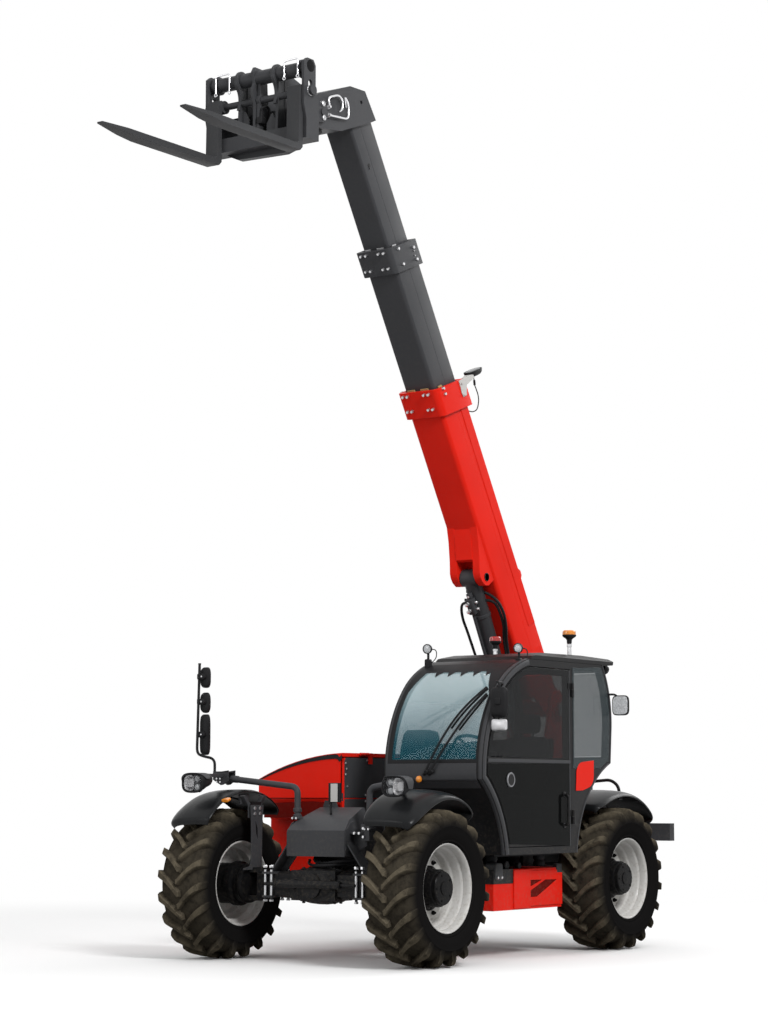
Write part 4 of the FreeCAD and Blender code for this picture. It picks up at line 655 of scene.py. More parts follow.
def cushion(low, high, edge, across="x"):
    # a rounded block between two corners, of power 5, its two ends eased in by edge
    order = {"x": (0, 1, 2), "y": (1, 0, 2), "z": (2, 0, 1)}[across]
    low, high = np.array(low, float)[list(order)], np.array(high, float)[list(order)]
    (u, v), (a, b) = (low + high)[1:] / 2, (high - low)[1:] / 2
    ease = [(0.0, 1.0), (0.12, 0.55), (0.45, 0.16), (1.0, 0.0)]
    ends = [(low[0] + edge * d, u, v, a - edge * e, b - edge * e, 5.0) for d, e in ease]
    tips = [(high[0] - edge * d, u, v, a - edge * e, b - edge * e, 5.0) for d, e in reversed(ease)]
    return loft(ends + tips, across)


def turned(shape, axis, degrees):
    # the same shape turned about an axis through the origin
    turn = np.array(Matrix.Rotation(math.radians(degrees), 3, Vector(axis)))
    return shape[0] @ turn.T, shape[1], shape[2]


def shifted(shape, by):
    # the same shape moved by a vector
    return shape[0] + np.array(by, float), shape[1], shape[2]


def arc(a, middle, b, count):
    # the circle through three flat points, from a to b
    a, middle, b = (np.array(p, float) for p in (a, middle, b))
    centre = np.linalg.solve(np.array([middle - a, b - a]) * 2, [middle @ middle - a @ a, b @ b - a @ a])
    turns = [math.atan2(p[1] - centre[1], p[0] - centre[0]) for p in (a, middle, b)]
    for i in (1, 2):
        turns[i] = turns[i - 1] + (turns[i] - turns[i - 1] + math.pi) % (2 * math.pi) - math.pi
    turn = np.linspace(turns[0], turns[2], count)
    return centre + np.stack([np.cos(turn), np.sin(turn)], -1) * np.linalg.norm(a - centre)


def leftOf(path):
    # unit directions a quarter turn left of a flat path
    along = unit(np.gradient(path, axis=0))
    return np.stack([-along[:, 1], along[:, 0]], -1)


def atSide(path, y):
    # a flat (x, z) path set upright at one y
    return np.stack([path[:, 0], np.full(len(path), y), path[:, 1]], -1)


# fenders
fender = {
    "inner": 0.722, "outer": 1.16, "thick": 0.006,
    # degrees up from straight ahead, crown radius, lip radius
    "front": np.array([
        (44, 0.702, 0.652), (52, 0.722, 0.636), (62, 0.732, 0.625), (74, 0.736, 0.636), (84, 0.737, 0.652),
        (96, 0.737, 0.67), (108, 0.734, 0.678), (119, 0.728, 0.674), (128, 0.714, 0.662)]),
    "rear": np.array([
        (51, 0.775, 0.735), (59, 0.755, 0.711), (70, 0.742, 0.694), (80, 0.737, 0.687), (100, 0.737, 0.687),
        (119, 0.737, 0.69), (130, 0.728, 0.689), (137, 0.716, 0.686)]),
}


def makeFender(corner, s):
    # rows go round the wheel, columns across: a raised inner lip, the crown, a soft fall to the rolled lip
    centre = wheelPlaces[corner] * [1, 0, 1]
    side = 1.0 if corner.endswith("l") else -1.0
    table = s["front" if corner.startswith("f") else "rear"]
    first, last = table[0, 0], table[-1, 0]
    # the rows stand closer together near both ends
    even = 0.5 - 0.5 * np.cos(np.linspace(0.15, 0.85, 46) * np.pi)
    turn = np.clip(first + (last - first) * even / 0.891 - (last - first) * 0.061, first, last)
    crown, lip = (np.interp(turn, table[:, 0], table[:, i]) for i in (1, 2))
    kernel = np.ones(5) / 5
    crown, lip = (np.convolve(np.pad(r, 2, "edge"), kernel, "valid") for r in (crown, lip))
    share = np.array([0.0, 0.01, 0.035, 0.1, 0.25, 0.45, 0.62, 0.75, 0.85, 0.92, 0.965, 0.988, 1.0, 0.998])
    fall = np.array([0.16, 0.05, 0.0, -0.02, -0.03, 0.0, 0.06, 0.16, 0.3, 0.46, 0.64, 0.8, 0.94, 1.0])
    # near both ends the guard's corners are rounded in plan and its rim turns down
    away = np.minimum(turn - first, last - turn)
    tuck = np.clip(away / 10, 0, 1)
    narrow = (1 - np.sqrt(np.clip(1 - (1 - tuck) ** 2, 0, 1))) * 0.18
    rim = (1 - np.clip(away / 2.5, 0, 1)) ** 2 * 0.03
    y = s["inner"] + (s["outer"] - s["inner"]) * (narrow[:, None] * 0.35 + share * (1 - narrow[:, None]))
    radius = crown[:, None] - (crown - lip)[:, None] * fall - rim[:, None]
    thick = s["thick"]
    inward = np.clip((y.mean(1, keepdims=True) - y) * 0.05, -thick, thick)
    under = np.stack([y + inward, radius - thick], -1)
    loop = np.concatenate([np.stack([y, radius], -1), under[:, ::-1]], 1)
    a = np.radians(turn)[:, None]
    points = np.stack([np.cos(a) * loop[..., 1], loop[..., 0] * side, np.sin(a) * loop[..., 1]], -1)
    shell = tube(points + centre)
    piece("fender_" + corner + "_guard", shell, "fenderPlastic", "knuckle_" + corner, angle=50,
          replaces=["fender_" + corner])


def makeHolder(corner):
    # cheeks at the plate's head, an arm under the guard, a stay on its outer side, and the hub's drum
    x, _, z = wheelPlaces[corner]
    left = corner.endswith("l")
    top, low = z + 0.64, z + 0.11
    parts = [block((x - 0.088, x + 0.088), (0.654, 0.662), (top - 0.125, top - 0.012)),
             block((x - 0.075, x + 0.075), (0.654, 0.79), (top - 0.03, top - 0.018)),
             block((x - 0.055, x + 0.055), (0.762, 0.78), (top - 0.03, z + 0.702))]
    for way in (-1, 1):
        wing = [(x + way * dx, top + dz)
                for dx, dz in ((0.088, -0.03), (0.15, 0.045), (0.12, 0.052), (0.06, -0.012))]
        parts.append(slab(wing, 0.656, 0.7, "y"))
    stay = [(x, y, top + dz) for y, dz in ((0.7, -0.02), (0.86, 0.028), (1.02, 0.04), (1.1, 0.018))]
    parts.append(carried(flowing(stay, 16), squircle(0.03, 0.005), side=(1, 0, 0)))
    plate = [(x - 0.084, top - 0.025), (x + 0.084, top - 0.025), (x + 0.074, top - 0.16),
             (x + 0.07, low + 0.08), (x + 0.09, low + 0.028), (x + 0.17, low + 0.012), (x + 0.17, low),
             (x - 0.066, low), (x - 0.07, top - 0.16)]
    parts.append(slab(plate, 0.6335, 0.6415, "y"))
    holder = joined(parts)
    slot = [(x + 0.022, top - 0.15), (x + 0.01, top - 0.25), (x - 0.006, top - 0.29),
            (x - 0.004, top - 0.205)]
    profile = [(0.08, 0.666), (0.112, 0.668), (0.142, 0.68), (0.152, 0.696), (0.154, 0.716), (0.148, 0.724),
               (0.148, 0.77), (0.172, 0.78), (0.176, 0.792), (0.176, 0.83), (0.158, 0.842), (0.152, 0.93),
               (0.1, 0.94)]
    drum = joined([lathe(profile, (x, 0, z), (0, 1, 0), 56),
                   bolts(boltCircle((x, 0.68, z), 0.128, 8, 0.2), (0, -1, 0), 0.01, 0.01),
                   slab(slot, 0.6325, 0.6336, "y")])
    heads = bolts([(x + dx, 0.634, top - dz) for dx in (-0.034, 0.034) for dz in (0.05, 0.092)],
                  (0, -1, 0), 0.014, 0.01)
    if not left:
        drum, holder, heads = mirrored(drum), mirrored(holder), mirrored(heads)
    piece("hub_drum_" + corner, drum, "hubPaint", "knuckle_" + corner)
    piece("fender_" + corner + "_holder", holder, "greyPaint", "knuckle_" + corner, bevel=0.003)
    piece("fender_" + corner + "_bolts", heads, "steel", "knuckle_" + corner)


def makeMarker(corner):
    # a small amber lamp on the guard's front
    rows = [(-0.03, 0, 0, 0.03, 0.012, 3), (0.008, 0, 0, 0.036, 0.014, 3), (0.014, 0, 0, 0.03, 0.01, 3)]
    marker = shifted(turned(loft(rows), (0, 1, 0), 20), (1.0, -0.695, 1.243))
    piece("marker_" + corner, marker, "amber", "knuckle_" + corner)


def makeLens(name, colour, glow, alpha, rough=0.12, coat=0.6, gloss=0.5):
    # lamp glass, panes and mirrors: an even colour with a faint swirl
    f = Finish(name)
    swirl = f.noise(90, 2).between(0.3, 0.7)
    darker = tuple(c * 0.7 for c in colour)
    f.set(BaseColor=f.blend(swirl, colour, darker), Roughness=rough, Alpha=alpha, CoatWeight=coat)
    f.feed(f.shader.inputs["Specular IOR Level"], gloss)
    f.set(EmissionColor=f.blend(swirl, colour, darker), EmissionStrength=glow)
    finishes[name] = f.material


makeLens("amber", (0.75, 0.24, 0.01), 0.15, 1.0)
makeLens("redLens", (0.45, 0.01, 0.008), 0.03, 1.0)
makeLens("clearLens", (0.05, 0.05, 0.055), 0.0, 0.16, 0.04, 0.0, 0.2)
# painted reflection: the mirrors' glass is a pale, nearly white colour standing in for the bright
# surroundings seen in it
makeLens("mirrorFace", (0.8, 0.82, 0.84), 0.0, 1.0, 0.03)
makeLens("tinted", (0.018, 0.019, 0.02), 0.0, 0.72, 0.03, 0.0, 0.08)
makeLens("paleTint", (0.08, 0.1, 0.108), 0.0, 0.5, 0.03, 0.0, 0.1)
makeLens("darkGlass", (0.006, 0.0065, 0.0065), 0.0, 0.92, 0.04, 0.0, 0.04)
for corner in wheelPlaces:
    makeFender(corner, fender)
    makeHolder(corner)
    softened("knuckle_" + corner, 0.005, "knuckle_" + corner, "paint_black")
makeMarker("fr")
print("fenders made")


# cab
cab = {
    "inner": 0.212, "outer": 1.13,
    "pillar": 0.033, "thinPillar": 0.022,  # tube radii at the front
    "screen": (1.548, 2.318), "teeth": (0.42, 0.54, 0.66, 0.78, 0.9),
    "marker": (0.548, 1.41),  # y and z of the cowl's lamp
    # y and z of each wiper's pivot, of the middle of its arm and of its tip
    "wipers": (((0.626, 1.472), (0.849, 1.853), (1.035, 2.105)),
               ((0.674, 1.472), (0.925, 1.836), (1.062, 2.052))),
    "doorRear": -1.206, "lowerPane": (0.874, 1.536), "upperPane": (1.566, 2.296),
    "latch": (-0.27, 1.1345, 1.402),
}
frontEdge = np.concatenate([arc((-0.203, 0.818), (-0.112, 1.12), (0.128, 1.408), 20),
                            arc((0.128, 1.408), (0.07, 1.79), (-0.172, 2.168), 28)[1:],
                            arc((-0.172, 2.168), (-0.33, 2.278), (-0.56, 2.362), 12)[1:]])
rearEdge = np.concatenate([arc((-1.752, 2.362), (-1.862, 2.12), (-1.892, 1.85), 14),
                           arc((-1.868, 1.548), (-1.52, 1.306), (-1.306, 0.818), 24)])


def onFront(y, z, out):
    # a point on the cab's curved front at height z, pushed out square to it
    x = np.interp(z, frontEdge[:, 1], frontEdge[:, 0])
    left = leftOf(frontEdge)
    nx, nz = (np.interp(z, frontEdge[:, 1], left[:, i]) for i in (0, 1))
    return np.stack(np.broadcast_arrays(x - nx * out, y, z - nz * out), -1)


def frontSheet(z, low, high, thick):
    # a skin on the curved front: at each height z it spans from low to high, between two depths
    z, low, high = np.broadcast_arrays(np.array(z, float), low, high)
    near, far = thick
    loop = [onFront(low, z, near), onFront(high, z, near), onFront(high, z, far), onFront(low, z, far)]
    return tube(np.stack(loop, 1))


def inside(edge, depth):
    # an edge line moved square to itself, inwards when the depth is more than 0
    return edge + leftOf(edge) * depth


def cornersOf(line):
    # the rows of an array as a list of corners
    return [tuple(p) for p in line]


def makePillars(s):
    # tubes along the front and rear edges of the sides
    softened("cab_shell", 0.006, "chassis", "paint_black")
    front = carried(atSide(inside(frontEdge, 0.028), s["outer"] - 0.024), circle(s["pillar"], 20))
    slim = carried(atSide(inside(frontEdge, 0.02), s["inner"] + 0.018), circle(s["thinPillar"], 16))
    rear = carried(atSide(inside(rearEdge, 0.006), s["outer"] - 0.004), circle(0.01, 10))
    piece("cab_pillars", [front, slim, rear], "greyPaint")


def makeWindscreen(s):
    # the pane, then the black print round it with slanted teeth along its top
    left, right = s["inner"], s["outer"]
    z = np.linspace(*s["screen"], 30)
    pane = frontSheet(z, left + 0.066, right - 0.066, (-0.008, -0.002))
    piece("windscreen", pane, "screenGlass", replaces=["cab_glass"])
    thin = (-0.001, 0.001)
    wide = np.clip((z - 2.06) / 0.2, 0, 1)
    slim = np.clip((z - 2.1) / 0.15, 0, 1)
    prints = [frontSheet(z, left + 0.04, left + 0.068 + 0.05 * slim, thin),
              frontSheet(z, right - 0.066 - 0.115 * wide, right - 0.05, thin),
              frontSheet(np.linspace(1.53, 1.56, 4), left + 0.04, right - 0.05, thin),
              frontSheet(np.linspace(2.262, 2.33, 5), left + 0.04, right - 0.05, thin)]
    for y in s["teeth"]:
        lean = np.linspace(0.0, 1.0, 5)
        low, high = y + 0.03 * (1 - lean), y + 0.03 + 0.045 * lean
        prints.append(frontSheet(2.222 + lean * 0.045, low, high, thin))
    piece("windscreen_print", prints, "blackPlastic")


def makeCowl(s):
    # the panel under the windscreen and the small lamp on it
    left, right, thick = s["inner"], s["outer"], (-0.002, 0.008)
    slant = np.linspace(left + 0.16, left + 0.02, 3)
    cowl = [frontSheet(np.linspace(1.385, 1.528, 8), left + 0.02, right - 0.056, thick),
            frontSheet(np.linspace(1.34, 1.385, 3), slant, right - 0.062, thick)]
    piece("cab_cowl", cowl, "greyPaint", bevel=0.003)
    dome = [(0.022, -0.004), (0.027, 0.004), (0.025, 0.014), (0.014, 0.022), (0.002, 0.023)]
    marker = lathe(dome, onFront(*s["marker"], 0.006), (1, 0, 0), 24)
    piece("cowl_marker", marker, "amber")


def makeWipers(s):
    # for each: a pivot on the cowl, an arm that stands off and a blade that lies on the glass
    parts = []
    for path in s["wipers"]:
        knots = np.array(path)
        line = flowing(np.column_stack([knots, knots[:, :1]]), 30)
        stand = 0.03 + 0.016 * np.sin(np.linspace(0, np.pi, 30))
        parts.append(carried(onFront(line[:, 0], line[:, 1], stand), squircle(0.009, 0.005, count=10)))
        parts.append(carried(onFront(line[12:, 0], line[12:, 1], 0.012), squircle(0.005, 0.012, count=8)))
        y, z = path[0]
        foot = onFront(y, z, 0.0)
        parts.append(lathe([(0.02, -0.004), (0.02, 0.028), (0.014, 0.04)], foot, (1, 0, -0.3), 20))
        parts.append(rod(onFront(y - 0.035, z - 0.03, 0.012), foot + [0.02, 0, 0], 0.012))
    piece("wipers", parts, "blackPlastic")


def makePanes(s):
    # bonded glass over the quarter opening, the pane on the boom's side and the rear window
    left, right = s["inner"], s["outer"]
    back = inside(rearEdge, 0.036)
    quarter = [(-1.25, 1.5), (-1.25, 2.318)] + cornersOf(back[back[:, 1] > 1.5])
    pane = slab(quarter, right + 0.0005, right + 0.0045, "y")
    piece("quarter_pane", pane, "paleTint", bevel=0.001)
    front, back = inside(frontEdge, 0.064), inside(rearEdge, 0.064)
    far = cornersOf(front[front[:, 1] > 1.582]) + [(-1.8, 2.29)] + cornersOf(back[back[:, 1] > 1.582])
    piece("inner_pane", slab(far, left + 0.012, left + 0.018, "y"), "innerGlass")
    z = np.linspace(1.606, 2.296, 16)
    x = np.interp(z, rearEdge[::-1, 1], rearEdge[::-1, 0]) + 0.014
    low, high = left + 0.063, right - 0.063
    loop = [np.stack([x + d, np.full(16, y), z], -1)
            for d, y in ((0, low), (0, high), (0.006, high), (0.006, low))]
    piece("rear_pane", tube(np.stack(loop, 1)), "glazing")
    # badge plate without a mark
    plate = [(-1.29, 1.318)] + cornersOf(arc((-1.298, 1.44), (-1.318, 1.512), (-1.385, 1.552), 10))
    plate += [(-1.583, 1.568)] + cornersOf(arc((-1.581, 1.45), (-1.562, 1.388), (-1.5, 1.345), 10))
    shape = slab(plate + [(-1.4, 1.322)], right + 0.001, right + 0.006, "y")
    piece("quarter_plate", shape, "redPaint", bevel=0.002)


def makeDoor(s):
    # two panes in the frame, with a rail between them
    softened("door_frame", 0.004, "door", "paint_black")
    out, rear = s["outer"], s["doorRear"] + 0.006
    (low, sill), (rail, high) = s["lowerPane"], s["upperPane"]
    edge = inside(frontEdge, 0.068)
    upper = edge[(edge[:, 1] > rail) & (edge[:, 0] > s["doorRear"])]
    lower = edge[(edge[:, 1] > low) & (edge[:, 1] < sill)]
    top = slab(cornersOf(upper) + [(rear, high), (rear, rail)], out + 0.0005, out + 0.0045, "y")
    bottom = slab(cornersOf(lower) + [(rear, sill), (rear, low)], out + 0.0005, out + 0.0045, "y")
    piece("door_pane_upper", top, "tinted", "door", bevel=0.001, replaces=["door_glass"])
    piece("door_pane_lower", bottom, "darkGlass", "door", bevel=0.001)
    front = np.interp(1.55, edge[:, 1], edge[:, 0])
    rails = [block((rear, front), (out, out + 0.008), (sill + 0.002, rail - 0.002)),
             block((rear, rear + 0.014), (out, out + 0.006), (low, high))]
    piece("door_rail", rails, "greyPaint", "door", bevel=0.002)


def makeLatch(s):
    # a round latch with a bar across its cup, and the upright grab handle
    out = s["outer"]
    x, _, z = at = s["latch"]
    ring = [(0.058, 0.0), (0.058, 0.008), (0.052, 0.013), (0.045, 0.01), (0.042, -0.001)]
    bar = cushion((x - 0.042, out + 0.002, z - 0.012), (x + 0.042, out + 0.01, z + 0.012), 0.004, "y")
    piece("door_latch", [lathe(ring, at, (0, 1, 0), 40), bar], "engineMetal", "door", "black_plastic")
    cup = lathe([(0.044, 0.003), (0.04, 0.0012), (0.004, 0.0012)], at, (0, 1, 0), 32)
    piece("door_latch_cup", cup, "hubPaint", "door", "black_plastic")
    grip = [(-1.098, out, 1.29), (-1.098, out + 0.045, 1.275), (-1.094, out + 0.045, 1.055),
            (-1.094, out, 1.04)]
    parts = [carried(rounded(grip, 0.03), circle(0.011, 14))]
    parts += [cushion((-1.116, out, z - 0.02), (-1.078, out + 0.012, z + 0.02), 0.004, "y")
              for z in (1.29, 1.04)]
    piece("door_grab", parts, "blackPaint", "door")


for make in (makePillars, makeWindscreen, makeCowl, makeWipers, makePanes, makeDoor, makeLatch):
    make(cab)
print("cab made")


# lamps, arms and mirrors
lampSettings = {
    "x": 1.01, "y": 0.958, "half": (0.108, 0.078),
    "height": {"left": 1.346, "right": 1.378},
    "brow": {"left": (158, -14), "right": (22, 194)},  # first and last angle of the bent plate
}
# foot: y of the clamp, base: its height; bend and far: heights of the tube's bend and outer end;
# end: y of that end; cuff: y and z of the sleeve on it; cheeks: y of both ends of the bracket;
# low and top: its underside and top; reach: y that the lamp's stalk is measured from;
# stalk: its shift outwards, underside and top; heads: shift of the bolts
armSettings = {
    "x": 0.64, "radius": 0.025,
    "left": {"foot": 0.427, "base": 1.02, "bend": 1.338, "far": 1.372, "reach": 0.75, "end": 0.66,
             "cuff": (0.61, 1.367), "cheeks": (0.635, 0.795), "low": 1.334, "top": 1.424,
             "stalk": (0.155, 0.03, 0.04), "heads": 0.0},
    "right": {"foot": 0.262, "base": 1.1, "bend": 1.345, "far": 1.413, "reach": 0.905, "end": 0.925,
              "cuff": (0.85, 1.407), "cheeks": (0.917, 1.075), "low": 1.366, "top": 1.48,
              "stalk": (0.0, 0.06, 0.086), "heads": 0.03},
}


def roundLamp(at, aim, radius, depth):
    # a turned can with a raised rim, and its lens
    r = radius
    can = lathe([(r * 0.4, -depth), (r * 0.72, -depth * 0.92), (r * 0.96, -depth * 0.45), (r, -depth * 0.2),
                 (r, 0.0), (r * 0.93, 0.003), (r * 0.9, -0.006), (r * 0.88, -0.012)], at, aim, 32)
    lens = lathe([(r * 0.88, -0.01), (r * 0.84, -0.004), (r * 0.55, 0.0), (r * 0.2, 0.001)], at, aim, 32)
    ring = [(r * 0.62, -0.001), (r * 0.6, 0.0015), (r * 0.56, 0.0015), (r * 0.54, -0.001)]
    return can, joined([lens, lathe(ring, at, aim, 32)])


def makeHeadlight(side, s):
    # an egg-shaped case whose underside rises to the back; the face is sunk behind a rounded rim
    name = "left" if side > 0 else "right"
    x, y, z = s["x"], s["y"] * side, s["height"][name]
    a, b = s["half"]

    def case(steps, power=3.0):
        # each step: offset along x, offset up, half width, half height
        return [(x + dx, y, z + dz, wide, tall, power) for dx, dz, wide, tall in steps]

    rows = case([(-0.095, 0.028, 0.05, 0.034)], 2.6) + case([(-0.085, 0.027, 0.07, 0.041)], 2.7)
    rows += case([(-0.05, 0.024, a * 0.86, 0.053)], 2.8) + case([(0, 0.018, a * 0.97, 0.061)], 2.9)
    rows += case([(0.05, 0.006, a, 0.074), (0.08, 0, a, b), (0.088, 0, a - 0.006, b - 0.006),
                  (0.086, 0, a - 0.013, b - 0.013), (0.054, 0.003, a - 0.018, b - 0.018),
                  (0.05, 0.003, a - 0.034, b - 0.032)])
    fins = [cushion((x - 0.105, y - 0.045, z + d), (x - 0.08, y + 0.045, z + d + 0.006), 0.002)
            for d in (-0.005, 0.011, 0.027, 0.043)]
    piece("headlight_%s_housing" % name, [loft(rows)] + fins, "blackPlastic", angle=40,
          replaces=["headlights"])
    cover = case([(0.076, 0, a - 0.014, b - 0.014), (0.092, 0, a - 0.018, b - 0.018)])
    cover += case([(0.104, 0, a - 0.04, b - 0.036)], 2.8) + case([(0.108, 0, a - 0.075, b - 0.06)], 2.6)
    piece("headlight_%s_lens" % name, loft(cover), "clearLens", angle=60)
    makeBrow(name, x, y, z, s)
    makeReflectors(name, x, y, z, side * a)


def makeBrow(name, x, y, z, s):
    # a plate bent over the case from its inner side to low on the outer one: |x/a|^3 + |z/b|^3 = 1
    a, b = s["half"]
    turn = np.linspace(*np.radians(s["brow"][name]), 26)
    reach = (np.abs(np.cos(turn)) ** 3 + np.abs(np.sin(turn)) ** 3) ** (-1 / 3)
    arch = np.stack([np.cos(turn) * reach * (a + 0.006), np.sin(turn) * reach * (b - 0.001)], -1)
    deep = np.interp(np.linspace(0, 1, 26), [0, 0.2, 0.75, 1], [0.026, 0.072, 0.06, 0.034])
    loop = [np.column_stack([x + 0.02 + deep * f, y + arch[:, 0] * g, z + arch[:, 1] * g])
            for f, g in ((-0.6, 1.0), (1.0, 1.0), (1.0, 1.045), (-0.6, 1.045))]
    piece("headlight_%s_brow" % name, tube(np.stack(loop, 1)), "greyPaint", bevel=0.0012)


def makeReflectors(name, x, y, z, wide):
    # two projectors one above the other beside a barred reflector
    middle, outer, heights = y - wide * 0.34, y + wide * 0.36, (0.034, -0.034)
    ring = [(0.04, -0.03), (0.038, -0.006), (0.035, 0.0), (0.031, -0.002), (0.028, -0.014)]
    rings = [lathe(ring, (x + 0.07, middle, z + d), (1, 0, 0), 28) for d in heights]
    piece("headlight_%s_inside" % name, rings, "engineMetal", "chassis", "bright_steel")
    cup = [(x + dx, outer, z, w, h, 2.8) for dx, w, h in ((0.046, 0.044, 0.056), (0.074, 0.05, 0.062),
                                                          (0.074, 0.047, 0.059), (0.052, 0.026, 0.034))]
    bars = [cushion((x + 0.052, outer - 0.04, z + d), (x + 0.07, outer + 0.04, z + d + 0.004), 0.001)
            for d in (-0.03, -0.01, 0.01, 0.03)]
    piece("headlight_%s_reflector" % name, [loft(cup)] + bars, "steel")
    dome = [(0.028, -0.004), (0.024, 0.006), (0.012, 0.012), (0.002, 0.0135)]
    domes = [lathe(dome, (x + 0.062, middle, z + d), (1, 0, 0), 24) for d in heights]
    piece("headlight_%s_projectors" % name, domes, "lampFace")


def makeArm(side, settings):
    # a bent tube from the front cover's side out to a bracket with cheeks, clamped at its foot
    name = "left" if side > 0 else "right"
    x, s = settings["x"], settings[name]
    foot, base, low, top = s["foot"], s["base"], s["low"], s["top"]
    lug, end = s["cheeks"]
    line = rounded([(x, foot, base), (x, foot, s["bend"]), (x, s["end"], s["far"])], 0.062, 12)
    cuff = [(0.028, 0), (0.034, 0.004), (0.034, 0.03), (0.028, 0.034)]
    parts = [carried(line, circle(settings["radius"], 20))]
    parts += [lathe(cuff, (x, foot, base + d), (0, 0, 1), 24) for d in (0.0, 0.05)]
    grip = (x - 0.04, foot - 0.036, base - 0.006), (x + 0.04, foot + 0.036, base + 0.016)
    parts.append(cushion(*grip, 0.006))
    cheek = [(lug, low + 0.03), (lug + 0.05, low), (end - 0.08, low - 0.004), (end, low + 0.04),
             (end, top - 0.018), (lug, top)]
    parts += [slab(cheek, x + d, x + d + 0.008, "x") for d in (-0.046, 0.04)]
    lid = [(x - 0.046, lug), (x + 0.048, lug), (x + 0.048, end), (x - 0.046, end)]
    parts.append(slab(lid, top - 0.016, top - 0.008, "z"))
    shift, under, over = s["stalk"]
    inner, outer = s["reach"] + shift + 0.018, s["reach"] + shift + 0.062
    stalk = [(x + 0.046, end - 0.11), (x + 0.29, inner), (x + 0.29, outer), (x + 0.046, end - 0.04)]
    parts.append(slab(stalk, low + under, low + over, "z"))
    socket = [(0.027, 0), (0.029, 0.01), (0.029, 0.05), (0.027, 0.06)]
    parts.append(lathe(socket, (x, *s["cuff"]), (0, 1, 0.08), 20))
    places = [(x + 0.048, lug + s["heads"] + d, low + e) for d in (0.05, 0.085)
              for e in (0.022, 0.048, 0.074)]
    low = [(x + 0.038, foot + d, base + 0.004) for d in (-0.018, 0.018)]
    heads = joined([bolts(places, (1, 0, 0), 0.009, 0.007), bolts(low, (1, 0, 0), 0.01, 0.01)])
    body = joined(parts)
    if side < 0:
        body, heads = mirrored(body), mirrored(heads)
    piece("lamp_arm_" + name, body, "greyPaint", bevel=0.0015, replaces=["lamp_arms"])
    piece("lamp_arm_" + name + "_bolts", heads, "steel")


def mirrorRows(centre, steps):
    # squircles one behind the other: each step is (offset along x, half width, half height, power)
    x, y, z = centre
    return [(x + dx, y, z, wide, tall, power) for dx, wide, tall, power in steps]


def makePoleMirrors():
    # the pole's lower end curls from the bracket to its own line; three rounded heads hang on ball joints
    x, y = 0.7, -1.21
    line = [(0.66, -1.078, 1.44), (0.66, -1.078, 1.574), (0.694, -1.175, 1.594), (0.718, -1.216, 1.618),
            (x, y, 2.34)]
    parts = [carried(rounded(line, 0.05, 9), circle(0.011, 12)),
             lathe([(0.014, 0), (0.011, 0.008)], (x, y, 2.335), (0, 0, 1), 12)]
    ball = [(0.02, -0.026), (0.024, -0.018), (0.024, 0.01), (0.018, 0.016), (0.01, 0.018)]
    pivots, caps = [], []
    for low, high, power, joint in ((1.604, 1.932, 5, 1.768), (1.942, 2.108, 3.2, 2.032),
                                    (2.144, 2.312, 3.6, 2.234)):
        half, centre = (high - low) / 2, (x, y + 0.03, (low + high) / 2)
        steps = [(-0.058, 0.041, 0.004), (-0.052, 0.045, 0), (-0.038, 0.044, 0.001), (-0.022, 0.04, 0.01),
                 (-0.014, 0.028, 0.028)]
        parts.append(loft(mirrorRows(centre, [(dx, wide, half - less, power) for dx, wide, less in steps])))
        knuckle = (x - 0.014, y - 0.016, joint - 0.024), (x + 0.016, y + 0.014, joint + 0.024)
        parts.append(cushion(*knuckle, 0.006))
        pivots.append(lathe(ball, (x + 0.002, y + 0.036, joint), (1, 0, 0), 20))
        caps.append(lathe([(0.007, 0), (0.007, 0.004), (0.004, 0.006)], (x + 0.019, y + 0.036, joint),
                          (1, 0, 0), 12))
        face = [(-0.0605, 0.04, half - 0.007, power), (-0.058, 0.041, half - 0.006, power)]
        piece("pole_mirror_%d" % round(low * 100), loft(mirrorRows(centre, face)), "mirrorFace")
    piece("mirror_pole", parts + pivots, "blackPlastic", angle=40, replaces=["mirrors"])
    piece("mirror_pole_caps", caps, "steel")


def makeLeftMirror():
    # a tall housing over a small wide-angle glass, on a bent arm from the pillar
    arm = [(-0.124, 1.118, 2.112), (-0.108, 1.18, 2.15), (0.04, 1.2, 2.16), (0.052, 1.24, 2.15),
           (0.052, 1.24, 2.01)]
    tall, small = (0.0, 1.23, 1.995), (0.0, 1.23, 1.822)
    shell = mirrorRows(tall, [(0.026, 0.07, 0.112, 5), (0.032, 0.076, 0.118, 5), (0.05, 0.076, 0.118, 5),
                              (0.066, 0.066, 0.106, 4.4), (0.073, 0.046, 0.08, 4)])
    lower = mirrorRows(small, [(0.03, 0.066, 0.042, 5), (0.036, 0.07, 0.046, 5), (0.048, 0.07, 0.046, 5),
                               (0.056, 0.06, 0.036, 4)])
    parts = [carried(rounded(arm, 0.035, 7), circle(0.009, 12)), loft(shell),
             cushion((0.046, 1.215, 1.975), (0.086, 1.262, 2.03), 0.008),
             cushion((0.04, 1.222, 1.86), (0.052, 1.238, 1.885), 0.003),
             cushion((-0.146, 1.108, 2.082), (-0.104, 1.148, 2.14), 0.01)]
    piece("left_mirror", parts, "blackPlastic", angle=40)
    piece("left_mirror_low", loft(lower), "steel", angle=40)
    faces = [loft(mirrorRows(tall, [(0.0235, 0.066, 0.108, 5), (0.026, 0.067, 0.109, 5)])),
             loft(mirrorRows(small, [(0.0275, 0.062, 0.038, 5), (0.03, 0.063, 0.039, 5)]))]
    piece("left_mirror_faces", faces, "mirrorFace")


